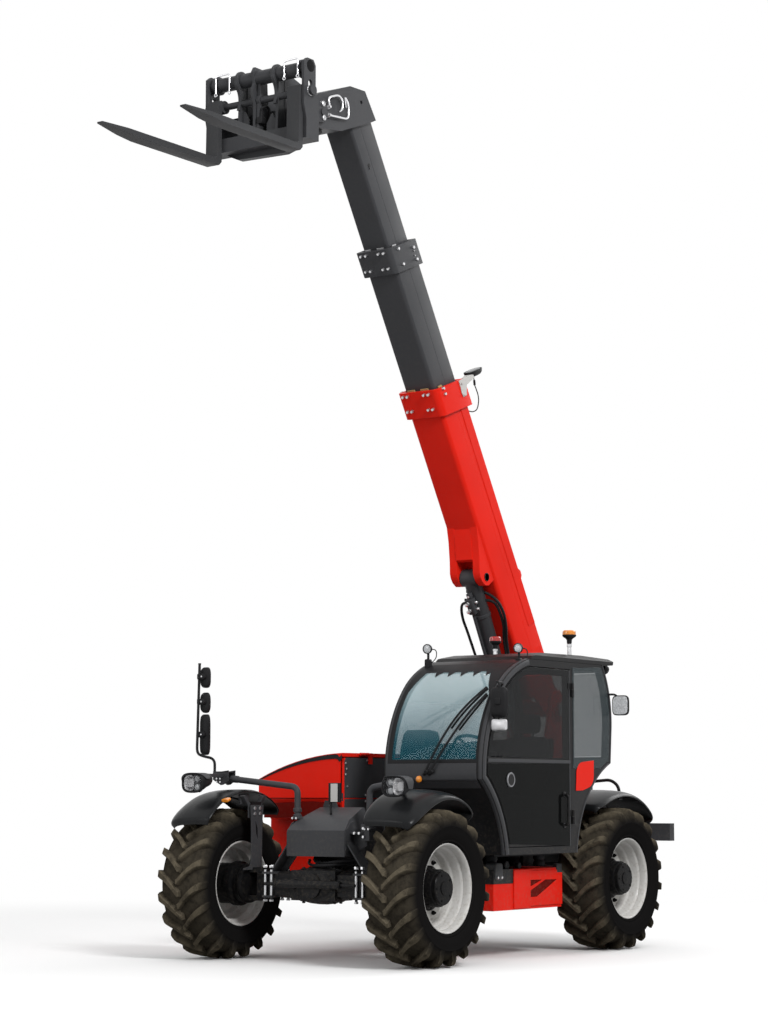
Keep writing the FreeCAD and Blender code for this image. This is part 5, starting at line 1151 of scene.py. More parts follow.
def makeRearMirror():
    # a square head behind the cab, its glass forward
    arm = [(-1.835, 1.128, 2.118), (-1.835, 1.165, 2.122), (-1.885, 1.18, 2.12), (-1.89, 1.22, 2.07)]
    centre = (-1.88, 1.225, 2.03)
    shell = mirrorRows(centre, [(-0.038, 0.05, 0.055, 4), (-0.032, 0.068, 0.078, 4.4),
                                (-0.015, 0.078, 0.084, 4.6), (0, 0.078, 0.084, 4.6),
                                (0.004, 0.073, 0.079, 4.6)])
    parts = [carried(rounded(arm, 0.025, 7), circle(0.009, 12)), loft(shell)]
    piece("rear_mirror", parts, "blackPlastic", angle=40)
    face = loft(mirrorRows(centre, [(0.003, 0.07, 0.076, 4.6), (0.007, 0.068, 0.074, 4.6)]))
    piece("rear_mirror_face", face, "mirrorFace")


roof = {
    "lamps": ((-0.394, 0.27, 2.462), (-0.53, 1.05, 2.45)), "rearLamp": (-1.964, 1.035, 2.334),
    # name: finish of the lens, x, y, foot, rise of the bowl, radius of the lens
    "beacons": {"beacon_red": ("redLens", -1.171, 0.438, 2.426, 0.089, 0.05),
                "beacon_amber": ("amber", -1.417, 1.008, 2.43, 0.13, 0.058)},
}


def makeWorkLamps(s):
    # two lamps on posts at the roof's front and one under its rear end
    softened("cab_roof", 0.012, "chassis", "paint_black")
    cans, lenses, cables = [], [], []
    for x, y, z in s["lamps"]:
        can, lens = roundLamp((x, y, z), (1, 0.1, -0.05), 0.04, 0.045)
        cans += [can, rod((x - 0.02, y, z - 0.035), (x - 0.02, y, z - 0.105), 0.01, 12),
                 cushion((x - 0.045, y - 0.022, z - 0.16), (x + 0.005, y + 0.022, z - 0.082), 0.005)]
        lenses.append(lens)
        lead = [(x - 0.04, y + 0.01, z), (x - 0.065, y + 0.05, z - 0.005), (x - 0.06, y + 0.055, z - 0.07),
                (x - 0.03, y + 0.03, z - 0.11)]
        cables.append(hose(lead, 0.004, 0.03, 8))
    can, lens = roundLamp(s["rearLamp"], (-1, 0.0, -0.29), 0.04, 0.055)
    cans += [can, cushion((-1.962, 1.008, 2.352), (-1.918, 1.062, 2.4), 0.006)]
    lenses.append(lens)
    piece("work_lamps", cans + cables, "blackPlastic", angle=40, replaces=["roof_lamps"])
    piece("work_lamp_lenses", lenses, "lampFace")


def makeBeacons(s):
    # each has a socket, a bowl and a low lens
    for name, (finish, x, y, low, rise, r) in s["beacons"].items():
        at, up = (x, y, low), (0, 0, 1)
        socket = [(0.03, 0), (0.03, 0.006), (0.018, 0.01), (0.016, rise * 0.55), (0.02, rise * 0.57),
                  (0.02, rise * 0.75), (0.014, rise * 0.8)]
        bowl = [(0.02, rise * 0.78), (0.022, rise), (r * 0.5, rise + 0.012), (r * 0.92, rise + 0.028),
                (r, rise + 0.036), (r, rise + 0.044), (r * 0.9, rise + 0.046)]
        lens = [(r * 0.95, rise + 0.044), (r * 0.97, rise + 0.052), (r * 0.94, rise + 0.072),
                (r * 0.8, rise + 0.08), (r * 0.3, rise + 0.083), (0.002, rise + 0.0835)]
        piece(name + "_socket", lathe(socket, at, up, 24), "steel")
        piece(name + "_bowl", lathe(bowl, at, up, 32), "blackPlastic")
        piece(name + "_lens", lathe(lens, at, up, 40), finish)


makeLens("lampFace", (0.62, 0.64, 0.66), 0.0, 1.0, 0.18)
makeLens("lampDim", (0.1, 0.105, 0.11), 0.0, 1.0, 0.2, 0.2, 0.3)
for side in (1, -1):
    makeHeadlight(side, lampSettings)
    makeArm(side, armSettings)
makePoleMirrors()
makeLeftMirror()
makeRearMirror()
makeWorkLamps(roof)
makeBeacons(roof)
print("lamps and mirrors made")


# boom
slideAxis = np.array(joints["boom_slide_1"]["axis"], float)
boomPivot = np.array(joints["boom_lift"]["pos_m"], float)
boomUp = np.cross(slideAxis, (0, 1, 0))
# half width, underside, back, corner bends, weld line's height, wall, first and last s, lean of the ends
boomSet = {
    "outer": {"half": 0.165, "low": -0.3, "high": 0.1, "bend": 0.034, "tight": 0.014, "fold": -0.085,
              "wall": 0.012, "from": 0.21, "to": 3.168, "lean": 0.2},
    "first": {"half": 0.145, "low": -0.28, "high": 0.07, "bend": 0.028, "tight": 0.012, "fold": -0.095,
              "wall": 0.008, "from": 1.33, "to": 4.43, "lean": 0.15},
    "second": {"half": 0.125, "low": -0.264, "high": 0.044, "bend": 0.024, "tight": 0.01, "fold": -0.13,
               "wall": 0.008, "from": 2.45, "to": 5.52, "lean": 0.0},
}


def onBoom(shape):
    # points given as (s along, y across, n up from the boom's line) carried to the row frame
    p, quads, lids = joined(shape) if isinstance(shape, list) else shape
    placed = boomPivot + p[:, :1] * slideAxis + p[:, 1:2] * np.array([0, 1, 0]) + p[:, 2:] * boomUp
    return placed, quads, lids


def boomOutline(b, grow=0.0, under=0.0, groove=0.0022):
    # half of the section from the middle of the underside up, then its mirror image:
    # two round corners and a weld groove
    half, low, high = b["half"] + grow, b["low"] - under, b["high"] + grow
    bend, tight = b["bend"] + max(grow, 0) * 0.6, b["tight"]
    turn = np.linspace(-90, 0, 8) * math.pi / 180
    lower = np.stack([half - bend + bend * np.cos(turn), low + bend + bend * np.sin(turn)], -1)
    seam = [(half, b["fold"] - 0.003), (half - groove, b["fold"]), (half, b["fold"] + 0.003)]
    turn = np.linspace(0, 90, 5) * math.pi / 180
    upper = np.stack([half - tight + tight * np.cos(turn), high - tight + tight * np.sin(turn)], -1)
    right = np.concatenate([lower, seam, upper])
    return np.concatenate([right, right[::-1] * [-1, 1]])


def alongBoom(outline, s0, s1, lean=0.0, inner=None):
    # an outline across the boom pushed from s0 to s1, its ends leaning forward at the underside:
    # s = s0 - lean n
    rows = [(s0, outline), (s1, outline)]
    rows += [] if inner is None else [(s1, inner), (s0, inner)]
    points = [np.column_stack([s - lean * np.array(p)[:, 1], p]) for s, p in rows]
    return grid(np.stack(points), closeRows=inner is not None, closeCols=True, capped=inner is None)


def boomTube(b):
    # the outline from end to end, with a wall
    wall = boomOutline(b, -b["wall"], -b["wall"], 0.0)
    return alongBoom(boomOutline(b), b["from"], b["to"], b["lean"], wall)


def boomPads(places, s0, s1, lean):
    # wear pads that show at a mouth: (y0, y1, n0, n1) for each
    outlines = [[(y0, n0), (y1, n0), (y1, n1), (y0, n1)] for y0, y1, n0, n1 in places]
    return [alongBoom(outline, s0, s1, lean) for outline in outlines]


def makeOuterBoom(b):
    # the tube, a collar at its mouth, round cheeks at its tail and ears for the cylinder
    collar = alongBoom(boomOutline(b, 0.034, 0.034, 0.0), 2.928, 3.17, b["lean"],
                       boomOutline(b, -0.002, -0.002, 0.0))
    cheek = cornersOf(arc((0.0, -0.148), (-0.148, 0.0), (0.0, 0.148), 20))
    cheek += [(0.24, 0.085), (0.62, 0.06), (0.62, -0.25), (0.24, -0.252)]
    ear = [(1.976, -0.292), (1.844, -0.338), (1.694, -0.408), (1.6, -0.462), (1.56, -0.47), (1.515, -0.466),
           (1.46, -0.436), (1.436, -0.39), (1.44, -0.292)]
    parts = [slab(cheek, y, y + 0.019, "y") for y in (0.1475, -0.1665)]
    parts += [slab(ear, y, y + 0.07, "y") for y in (0.082, -0.152)]
    # plate between the ears, and the pivot's tube
    plate = [(1.96, -0.29), (1.9, -0.29), (1.668, -0.392), (1.7, -0.412)]
    parts.append(slab(plate, -0.084, 0.084, "y"))
    parts.append(lathe([(0.07, -0.139), (0.07, 0.139)], (0, 0, 0), (0, 1, 0), 40))
    # wrap plate over the back, and the cover strip on it
    wrap = [(0.1695, -0.02), (0.1695, 0.088), (0.1545, 0.1045), (-0.1545, 0.1045), (-0.1695, 0.088),
            (-0.1695, -0.02), (-0.164, -0.02), (-0.164, 0.085), (-0.15, 0.099), (0.15, 0.099),
            (0.164, 0.085), (0.164, -0.02)]
    strip = [(0.118, 0.103), (0.118, 0.11), (0.112, 0.114), (-0.112, 0.114), (-0.118, 0.11),
             (-0.118, 0.103)]
    parts += [alongBoom(wrap, 0.84, 2.926, b["lean"]), alongBoom(strip, 0.9, 2.9)]
    # small tab on the back edge
    tab = [(1.345, 0.096), (1.336, 0.124), (1.309, 0.14), (1.268, 0.138), (1.25, 0.122), (1.24, 0.096)]
    parts.append(slab(tab, 0.136, 0.152, "y"))
    body = joined([boomTube(b), collar] + parts)
    piece("outer_boom_body", onBoom(body), "redPaint", "boom", bevel=0.0035, angle=30,
          replaces=["outer_boom"])


def makeOuterFittings(b):
    # pin ends and the rim of the opening between the ears, bolts and wear pads at the mouth
    rim = [(0.034, 0.0), (0.034, 0.003), (0.029, 0.003), (0.028, 0.001)]
    pin = [(0.036, 0.15), (0.036, 0.1565), (0.032, 0.158)]
    parts = [lathe(rim, (1.79, 0.0, -0.357), (0.42, 0, -0.93), 28)]
    parts += [lathe(pin, (1.515, 0, -0.385), (0, side, 0), 28) for side in (1, -1)]
    piece("lift_pin_ends", onBoom(parts), "blackPaint", "boom")
    low = [(s, y, -0.334) for s in (3.208, 3.073) for y in (-0.135, -0.091, 0.075, 0.119)]
    beside = bolts([(3.208, 0.199, -0.236), (3.156, 0.199, -0.232)], (0, 1, 0), 0.0125, 0.02, 12)
    heads = joined([bolts(low, (0, 0, -1), 0.0125, 0.026, 12), beside, mirrored(beside)])
    piece("outer_boom_bolts", onBoom(heads), "steel", "boom")
    pads = boomPads([(-0.112, -0.04, -0.296, -0.2815), (0.02, 0.096, -0.296, -0.2815)], 3.13, 3.184,
                    b["lean"])
    pads += boomPads([(y, y + 0.0125, -0.225, -0.165) for y in (0.1455, -0.158)], 3.13, 3.183, b["lean"])
    piece("outer_boom_pads", onBoom(pads), "padPlastic", "boom", bevel=0.002)


def makeExtension1(b):
    # the tube with a collar at its mouth, then its bolts and wear pads
    collar = alongBoom(boomOutline(b, 0.026, 0.0494, 0.0), 4.226, 4.446, 0.157,
                       boomOutline(b, -0.002, -0.002, 0.0))
    piece("extension_1_body", onBoom([boomTube(b), collar]), "greyPaint", "extension_1", bevel=0.003,
          angle=30, replaces=["extension_1"])
    low = [(s, y, -0.3294) for s in (4.47, 4.335) for y in (-0.11, -0.061, 0.064, 0.115)]
    side = [(4.452, 0.171, -0.205), (4.382, 0.171, 0.011), (4.278, 0.171, 0.01), (4.316, 0.171, -0.203)]
    small = [(4.35, 0.171, 0.011), (4.312, 0.171, 0.004)]
    heads = [bolts(low, (0, 0, -1), 0.0115, 0.024, 12)]
    for made in (bolts(side, (0, 1, 0), 0.014, 0.016, 12), bolts(small, (0, 1, 0), 0.006, 0.008, 10)):
        heads += [made, mirrored(made)]
    piece("extension_1_bolts", onBoom(heads), "steel", "extension_1")
    pads = boomPads([(-0.098, -0.04, -0.28, -0.2655), (0.02, 0.086, -0.28, -0.2655)], 4.4, 4.457, 0.157)
    pads += boomPads([(y, y + 0.0165, -0.225, -0.165) for y in (0.1255, -0.142)], 4.4, 4.458, 0.157)
    piece("extension_1_pads", onBoom(pads), "steel", "extension_1", bevel=0.002)


def makeExtension2(b):
    # the innermost tube
    piece("extension_2_body", onBoom(boomTube(b)), "greyPaint", "extension_2", bevel=0.003, angle=30,
          replaces=["extension_2"])
    # a round opening, drawn as a black disc of painted shade, with a bolt low in its rim, on both sides
    edge = [(0.02, 0.0), (0.02, 0.0012), (0.0165, 0.0016), (0.001, 0.0012)]
    rim = lathe(edge, (5.168, 0.125, -0.172), (0, 1, 0), 28)
    low = bolts([(5.146, 0.1255, -0.176)], (0, 1, 0), 0.009, 0.006, 10)
    piece("extension_2_hole", onBoom([rim, mirrored(rim)]), "blackPaint", "extension_2")
    piece("extension_2_bolt", onBoom([low, mirrored(low)]), "greyPaint", "extension_2")


boomLamp = {
    "centre": (-1.33, 0.129, 4.885), "long": (-0.93, 0, 0.37), "out": (0.37, 0, 0.93),
    # offset outwards, half length, half width
    "case": ((-0.03, 0.06, 0.03), (-0.026, 0.082, 0.04), (-0.01, 0.104, 0.05), (0.012, 0.11, 0.054),
             (0.02, 0.11, 0.054), (0.02, 0.102, 0.047), (0.014, 0.098, 0.043)),
    "face": ((0.012, 0.097, 0.042), (0.021, 0.094, 0.04), (0.025, 0.07, 0.028)),
    "lead": ((-1.332, 0.129, 4.846), (-1.345, 0.13, 4.818), (-1.351, 0.131, 4.779), (-1.369, 0.133, 4.748),
             (-1.4, 0.133, 4.7), (-1.412, 0.131, 4.645), (-1.39, 0.128, 4.575), (-1.33, 0.122, 4.545),
             (-1.262, 0.112, 4.548)),
}


def makeBoomLamp(s):
    # a shallow oblong lamp that looks along the boom; its lead drops to the boom's back
    centre, long, out = (np.array(s[name]) for name in ("centre", "long", "out"))

    def layers(rows):
        # squircles laid square to the outward direction
        flat = [(d, squircle(a, b, 2.8)) for d, a, b in rows]
        points = [centre + out * d + p[:, :1] * long + p[:, 1:] * np.array([0, 1.0, 0]) for d, p in flat]
        return tube(np.stack(points))

    stem = [hose([(-1.29, 0.129, 4.868), (-1.25, 0.129, 4.84), (-1.222, 0.129, 4.8)], 0.016, 0.02, 12),
            hose([(-1.33, 0.129, 4.86), (-1.332, 0.129, 4.838)], 0.01)]
    piece("boom_lamp_case", [layers(s["case"])] + stem, "blackPlastic", "boom", angle=40,
          replaces=["boom_lamp"])
    piece("boom_lamp_face", layers(s["face"]), "lampDim", "boom")
    lead = flowing(s["lead"], 44)
    cable = joined([carried(lead, circle(0.0048, 8)), carried(lead[5:12], circle(0.01, 12))])
    piece("boom_lamp_lead", cable, "blackPlastic", "boom")


def makeLampBracket():
    # a folded plate on the boom's left side
    plate = [(3.163, 0.024), (3.151, 0.14), (3.12, 0.262), (3.09, 0.262), (3.086, 0.122), (3.01, 0.074),
             (3.016, 0.022), (3.06, 0.014), (3.107, 0.022)]
    fold = [(3.122, 0.2), (3.088, 0.2), (3.088, 0.262), (3.122, 0.262)]
    parts = [slab(plate, 0.2, 0.206, "y"), slab(fold, 0.12, 0.202, "y"),
             bolts([(3.03, 0.206, 0.038), (3.13, 0.206, 0.05)], (0, 1, 0), 0.011, 0.01)]
    piece("boom_lamp_bracket", onBoom(parts), "silverPaint", "boom", "paint_grey", bevel=0.0012)


plastic("padPlastic", (0.36, 0.26, 0.12), 0.6, 300, 0.1)
makeOuterBoom(boomSet["outer"])
makeOuterFittings(boomSet["outer"])
makeExtension1(boomSet["first"])
makeExtension2(boomSet["second"])
makeBoomLamp(boomLamp)
makeLampBracket()
print("boom made")


# boom head and carriage
carriageSet = {"tube": (1.512, 6.805), "shaft": (1.512, 6.625), "half": 0.48}


def makeHead():
    # couplings, pipes and blocks on the boom's head
    softened("boom_head", 0.004, "extension_2", "paint_grey")
    softened("boom_pivot_pin", 0.003, "chassis", "bright_steel")
    # round couplings, then hexagons with a stub, on both cheeks
    ring = [(0.016, 0), (0.022, 0.002), (0.022, 0.022), (0.019, 0.024), (0.019, 0.036), (0.022, 0.038),
            (0.022, 0.05), (0.016, 0.054), (0.012, 0.048)]
    fittings = [lathe(ring, (s, 0.159, n), (0, 1, 0), 20) for s, n in ((5.835, -0.634), (5.735, -0.683))]
    for s, n in ((5.783, -0.544), (5.725, -0.579)):
        fittings.append(bolts([(s, 0.159, n)], (0, 1, 0), 0.02, 0.026))
        fittings.append(lathe([(0.012, 0.02), (0.012, 0.04), (0.009, 0.044)], (s, 0.159, n), (0, 1, 0), 16))
    both = joined(fittings)
    piece("head_couplings", onBoom([both, mirrored(both)]), "steel", "extension_2", angle=30)
    y = 0.188
    runs = [[(5.783, y, -0.544), (5.855, y, -0.523), (5.823, y, -0.365), (5.76, y, -0.346),
             (5.709, y, -0.389), (5.7, 0.165, -0.4)], [(5.7, 0.165, -0.29), (5.798, y, -0.301),
                                                       (5.716, y, -0.283), (5.612, y, -0.346),
                                                       (5.708, y, -0.545), (5.725, y, -0.579)]]
    pipes = joined([hose(run, 0.009, 0.05, 12) for run in runs])
    piece("head_pipes", onBoom(pipes), "chrome", "extension_2")
    # stacked valve plates and rubber stops under the head, between its cheeks
    under = [cushion((5.6, -0.09, -0.7), (5.7, 0.1, -0.6), 0.008),
             cushion((5.66, -0.06, -0.765), (5.76, 0.02, -0.7), 0.008),
             cushion((5.7, 0.03, -0.775), (5.8, 0.11, -0.71), 0.01)]
    piece("head_blocks", onBoom(under), "blackPaint", "extension_2")


def makeCarriage(s):
    softened("fork_carriage", 0.004, "carriage", "paint_grey")
    softened("forks", 0.007, "carriage", "fork_steel")
    (x, z), (shaftX, shaftZ) = s["tube"], s["shaft"]
    # rings round the tube, each with a strip that runs down the box and a web behind it
    ring = [(0.055, -0.014), (0.073, -0.014), (0.077, -0.01), (0.077, 0.01), (0.073, 0.014), (0.055, 0.014)]
    strip = [(-0.014, -0.004), (0.014, -0.004), (0.014, 0.004), (-0.014, 0.004)]
    fall = [(0.074, 0.012), (0.07, -0.045), (0.034, -0.1), (0.022, -0.165), (0.042, -0.24)]
    parts = []
    for y in (0.169, -0.183):
        parts.append(lathe(ring, (x, y, z), (0, 1, 0), 44))
        tail = flowing([(x + dx, y, z + dz) for dx, dz in fall], 30)
        parts.append(carried(tail, strip, side=(0, 1, 0)))
        web = [(x - 0.02, z - 0.05)] + cornersOf(tail[6:, ::2]) + [(x - 0.02, z - 0.24)]
        parts.append(slab(web, y - 0.01, y + 0.01, "y"))
    # pointed brackets ahead of the box, and the middle plate with its opening
    for y, top in ((0.115, 6.504), (-0.153, 6.558)):
        gable = [(y - 0.05, 6.355), (y + 0.05, 6.355), (y + 0.05, top - 0.075), (y + 0.006, top),
                 (y - 0.006, top), (y - 0.05, top - 0.075)]
        parts.append(slab(gable, x - 0.01, x + 0.004, "x"))
    middle = [(x - 0.06, 6.36), (x + 0.04, 6.36), (x + 0.04, 6.6), (x + 0.072, 6.66), (x + 0.072, 6.7),
              (x + 0.048, 6.76), (x + 0.07, 6.84), (x + 0.045, 6.883), (x - 0.05, 6.883)]
    parts.append(slab(middle, -0.042, -0.018, "y"))
    collar = [(0.027, -0.016), (0.037, -0.016), (0.04, -0.012), (0.04, 0.012), (0.037, 0.016),
              (0.027, 0.016)]
    parts += [lathe(collar, (shaftX, y, shaftZ), (0, 1, 0), 32) for y in (0.4, -0.4, 0.0, -0.06)]
    # tool plate under the box
    lower = [(-0.373, 6.312), (-0.373, 6.262), (-0.33, 6.235), (-0.25, 6.2), (0.2, 6.19), (0.285, 6.215),
             (0.285, 6.3), (-0.1, 6.312)]
    parts.append(slab(lower, 1.404, 1.47, "x"))
    piece("carriage_details", parts, "greyPaint", "carriage", bevel=0.002, angle=30)


def makeCarriageEnds(s):
    # painted shade: the middle plate's openings are dark oblongs and the tube's ends dark discs, standing
    # in for the shade inside them; caps on the shaft
    (x, z), (shaftX, shaftZ), half = s["tube"], s["shaft"], s["half"]
    dark = [loft([(level, x + 0.006, 6.715, 0.018, 0.036, 2.4) for level in pair], "y")
            for pair in ((-0.0428, -0.0422), (-0.0178, -0.0172))]
    disc = [(0.046, 0.0), (0.046, 0.002), (0.043, 0.0024), (0.001, 0.0016)]
    cap = [(0.04, 0.0), (0.041, 0.012), (0.034, 0.016), (0.033, 0.026), (0.038, 0.03), (0.038, 0.038),
           (0.03, 0.042), (0.027, 0.038)]
    dark += [lathe(disc, (x - 0.004, side * half, z + 0.014), (0, side, 0), 36) for side in (1, -1)]
    caps = [lathe(cap, (shaftX, side * (half - 0.008), shaftZ), (0, side, 0), 32) for side in (1, -1)]
    # painted shade: dark oblongs and discs standing in for the shadow inside the openings
    piece("carriage_openings", dark, "hubPaint", "carriage")
    piece("carriage_shaft_caps", caps, "steel", "carriage", angle=30)


def makeCarriageHandles(s):
    # bent rods over the tube with an eye at each foot, and the small valve under the shaft
    x = s["tube"][0]
    front, rods = x + 0.066, []
    for low, high, y0, y1 in ((6.745, 6.872, 0.28, 0.408), (6.722, 6.862, -0.388, -0.254)):
        bow = [(front, y0, low), (front, y0, high), (front, y1, high + 0.004), (front, y1, low + 0.006)]
        rods.append(hose(bow, 0.0065, 0.022, 12))
        rods += [eyelet((front, y, low - 0.008), 0.012, 0.0045) for y in (y0, y1)]
    piece("carriage_handles", rods, "chrome", "carriage")
    lead = [(x + 0.012, 0.02, 6.53), (x + 0.02, 0.03, 6.56), (x - 0.04, 0.05, 6.58), (x - 0.06, 0.05, 6.5)]
    valve = [cushion((x - 0.02, -0.005, 6.43), (x + 0.045, 0.045, 6.485), 0.006),
             rod((x + 0.012, 0.02, 6.48), (x + 0.012, 0.02, 6.53), 0.014), hose(lead, 0.009, 0.03)]
    piece("carriage_valve", valve, "blackPlastic", "carriage")


def eyelet(centre, big, small):
    # a small ring that faces forward: a circle carried round a circle
    turn = around(14)
    out = np.stack([turn * 0, np.cos(turn), np.sin(turn)], -1)
    r = circle(small, 8)
    forward = np.array([1.0, 0, 0]) * r[None, :, 1:]
    points = np.array(centre) + out[:, None] * (big + r[None, :, :1]) + forward
    return grid(points, closeRows=True, closeCols=True)


makeHead()
makeCarriage(carriageSet)
makeCarriageEnds(carriageSet)
makeCarriageHandles(carriageSet)
print("head and carriage made")


# lift cylinder
liftSet = {
    "eye": (-1.4939, 0.0, 3.1345), "foot": (-2.56, 0.0, 1.1), "radius": 0.073,
    # hoses leave the block, cross the barrel to its left side and run down beside it to the frame
    "hoses": (((-1.5, -0.06, 3.02), (-1.56, 0.03, 3.024), (-1.615, 0.104, 2.994), (-1.655, 0.165, 2.93),
               (-1.705, 0.188, 2.842), (-1.768, 0.174, 2.736), (-1.85, 0.13, 2.604), (-1.96, 0.1, 2.4),
               (-2.06, 0.09, 2.24)),
              ((-1.52, -0.09, 2.95), (-1.59, 0.04, 2.95), (-1.64, 0.13, 2.93), (-1.692, 0.158, 2.85),
               (-1.762, 0.152, 2.736), (-1.842, 0.11, 2.604), (-1.945, 0.085, 2.4), (-2.04, 0.07, 2.24))),
    "lowHose": ((-1.47, -0.02, 2.925), (-1.45, -0.07, 2.9), (-1.52, -0.11, 2.8),
                (-1.64, -0.12, 2.64), (-1.9, -0.11, 2.2)),
}


def makeCylinder(s):
    softened("lift_barrel", 0.004, "lift_barrel", "paint_grey")
    r, eye, foot = s["radius"], np.array(s["eye"]), np.array(s["foot"])
    down = unit(foot - eye)
    front = np.cross(down, (0, 1, 0))

    def at(along, out, y=0.0):
        # a point given by its distance down the barrel, out in front of it and to the left
        return eye + down * along + front * out + np.array([0, y, 0])

    def blockAt(low, high):
        # a rounded block whose sides run down the barrel, to the left and out in front
        p, quads, lids = cushion(low, high, 0.005)
        return eye + p[:, :1] * down + p[:, 1:2] * np.array([0, 1, 0]) + p[:, 2:] * front, quads, lids

    band = [(r + 0.001, 0.0), (r + 0.007, 0.004), (r + 0.007, 0.03), (r + 0.001, 0.034)]
    bodies = [blockAt((0.15, -0.04, r - 0.006), (0.29, 0.03, r + 0.062)),
              blockAt((0.105, -0.03, r - 0.006), (0.15, 0.014, r + 0.04)),
              carried([at(0.3, r + 0.03, -0.012), at(1.2, r + 0.012, -0.012)], circle(0.014, 16)),
              lathe(band, at(0.33, 0.0), down, 48)]
    piece("lift_valve", bodies, "greyPaint", "lift_barrel", bevel=0.002)
    coupling = [(0.016, 0), (0.016, 0.014), (0.012, 0.018), (0.012, 0.034), (0.016, 0.036), (0.016, 0.046),
                (0.01, 0.048)]
    silver = [lathe(coupling, at(a, r + 0.05, -0.016), front, 20) for a in (0.185, 0.25)]
    stub = [(0.014, 0), (0.014, 0.022), (0.01, 0.026)]
    silver += [lathe(stub, at(a, r + 0.02, 0.028), (0, 1, 0), 18) for a in (0.19, 0.25)]
    silver.append(bolts([at(0.128, r + 0.034, -0.008)], front, 0.012, 0.014))
    piece("lift_valve_fittings", silver, "steel", "lift_barrel", angle=30)
    lines = [carried(flowing(run, 50), circle(0.0125, 12)) for run in s["hoses"]]
    lines.append(carried(flowing(s["lowHose"], 40), circle(0.012, 12)))
    piece("lift_hoses", lines, "blackPlastic", "lift_barrel")


makeCylinder(liftSet)
print("lift cylinder made")


# hood, front box and axle
frontSet = {
    "wallX": (-1.325, 0.012), "louvres": 12,
    "axleX": {"front_axle": 0.675, "rear_axle": -2.095}, "axleZ": 0.59,
    "rodX": 0.11, "rodY": (0.405, 0.465), "rodEnds": (0.491, 0.705),  # clamp rods round the front axle
    "hoses": (((0.46, -0.22, 0.8), (0.6, -0.12, 0.775), (0.7, 0.02, 0.76), (0.72, 0.18, 0.775),
               (0.62, 0.3, 0.79)),
              ((0.48, -0.26, 0.775), (0.62, -0.16, 0.752), (0.73, -0.02, 0.742), (0.74, 0.14, 0.748),
               (0.6, 0.26, 0.76)),
              ((0.45, -0.1, 0.79), (0.66, -0.02, 0.765), (0.71, 0.1, 0.73), (0.7, 0.2, 0.7))),
}


def makeHood():
    # the seal is a strip under the lid's top front edge, deeper towards the boom
    softened("hood_lid", 0.006, "hood", "paint_red")
    softened("engine_bay", 0.005, "chassis", "paint_red")
    softened("engine_block", 0.006, "chassis", "engine_metal")
    lid = nodes["hood_lid"]
    points = np.array([tuple(lid.matrix_world @ v.co) for v in lid.data.vertices])
    face = points[points[:, 0] > 0.039]
    # the lid's top edge seen from the front: highest point at each y
    ys = np.unique(np.round(face[:, 1], 4))
    tops = np.array([face[np.abs(face[:, 1] - y) < 0.0006, 2].max() for y in ys])
    y = np.linspace(ys[0] + 0.008, ys[-1] - 0.004, 40)
    top = np.interp(y, ys, tops)
    low = top - 0.008 - 0.8 * (0.012 + 0.034 * (y - y[0]) / (y[-1] - y[0]))
    rows = ((0.0395, top - 0.006), (0.044, top - 0.006), (0.044, low), (0.0395, low))
    loop = np.stack([np.stack([np.full(40, x), y, z], -1) for x, z in rows], 1)
    piece("hood_seal", tube(loop), "blackPlastic", "hood")


def makeBayWall(s):
    # bolted panels on the wall towards the boom, and a dark red plate of painted shade in the recess below
    # the nose
    x0, x1 = s["wallX"]
    upper = [(x0, 1.262), (x1, 1.262), (x1, 1.56), (x1 - 0.02, 1.583), (x0, 1.583)]
    lower = [(x0, 0.945), (x1 - 0.03, 0.945), (x1, 1.05), (x1, 1.252), (x0, 1.252)]
    panels = [slab(upper, -0.2618, -0.256, "y"), slab(lower, -0.2618, -0.2575, "y"),
              block((-0.012, 0.02), (-1.074, -0.268), (1.236, 1.3))]
    piece("bay_wall_panels", panels, "greyPaint", bevel=0.0015)
    spots = [(0.0, 1.539), (-0.012, 1.494), (0.0, 1.449), (-0.02, 1.354)]
    spots += [(x, 1.281) for x in (-0.275, -0.6, -0.95, -1.28)]
    spots += [(x, 1.565) for x in (-0.3, -0.62, -0.95, -1.28)]
    spots += [(-1.29, 1.42), (-0.275, 1.232), (-0.95, 1.232), (-0.6, 0.965), (-1.25, 0.965)]
    heads = bolts([(x, -0.256, z) for x, z in spots], (0, 1, 0), 0.0085, 0.007, 12)
    piece("bay_wall_bolts", heads, "steel")
    # painted shade: a dark red plate standing in for the shadow under the nose's overhang
    shade = [(-1.055, 1.1), (-0.31, 1.1), (-0.31, 1.216), (-0.56, 1.234), (-1.055, 1.216)]
    piece("bay_front_recess", slab(shade, 0.0325, 0.0355, "x"), "redShade")


def makeVents(s):
    # louvres set in a dark frame on the bay's outer wall
    blade = np.array([(0.0, 0.0), (0.04, -0.012), (0.046, -0.01), (0.006, 0.002)])
    parts = [slab(blade + (-1.12 + i * 0.062, -1.0775), 0.96, 1.21, "z") for i in range(s["louvres"])]
    depth = (-1.0835, -1.0775)
    parts += [block((-1.15, -0.37), depth, pair) for pair in ((0.94, 0.96), (1.21, 1.23))]
    parts += [block(pair, depth, (0.94, 1.23)) for pair in ((-1.165, -1.145), (-0.375, -0.355))]
    piece("bay_vents", parts, "blackPlastic", bevel=0.0015)


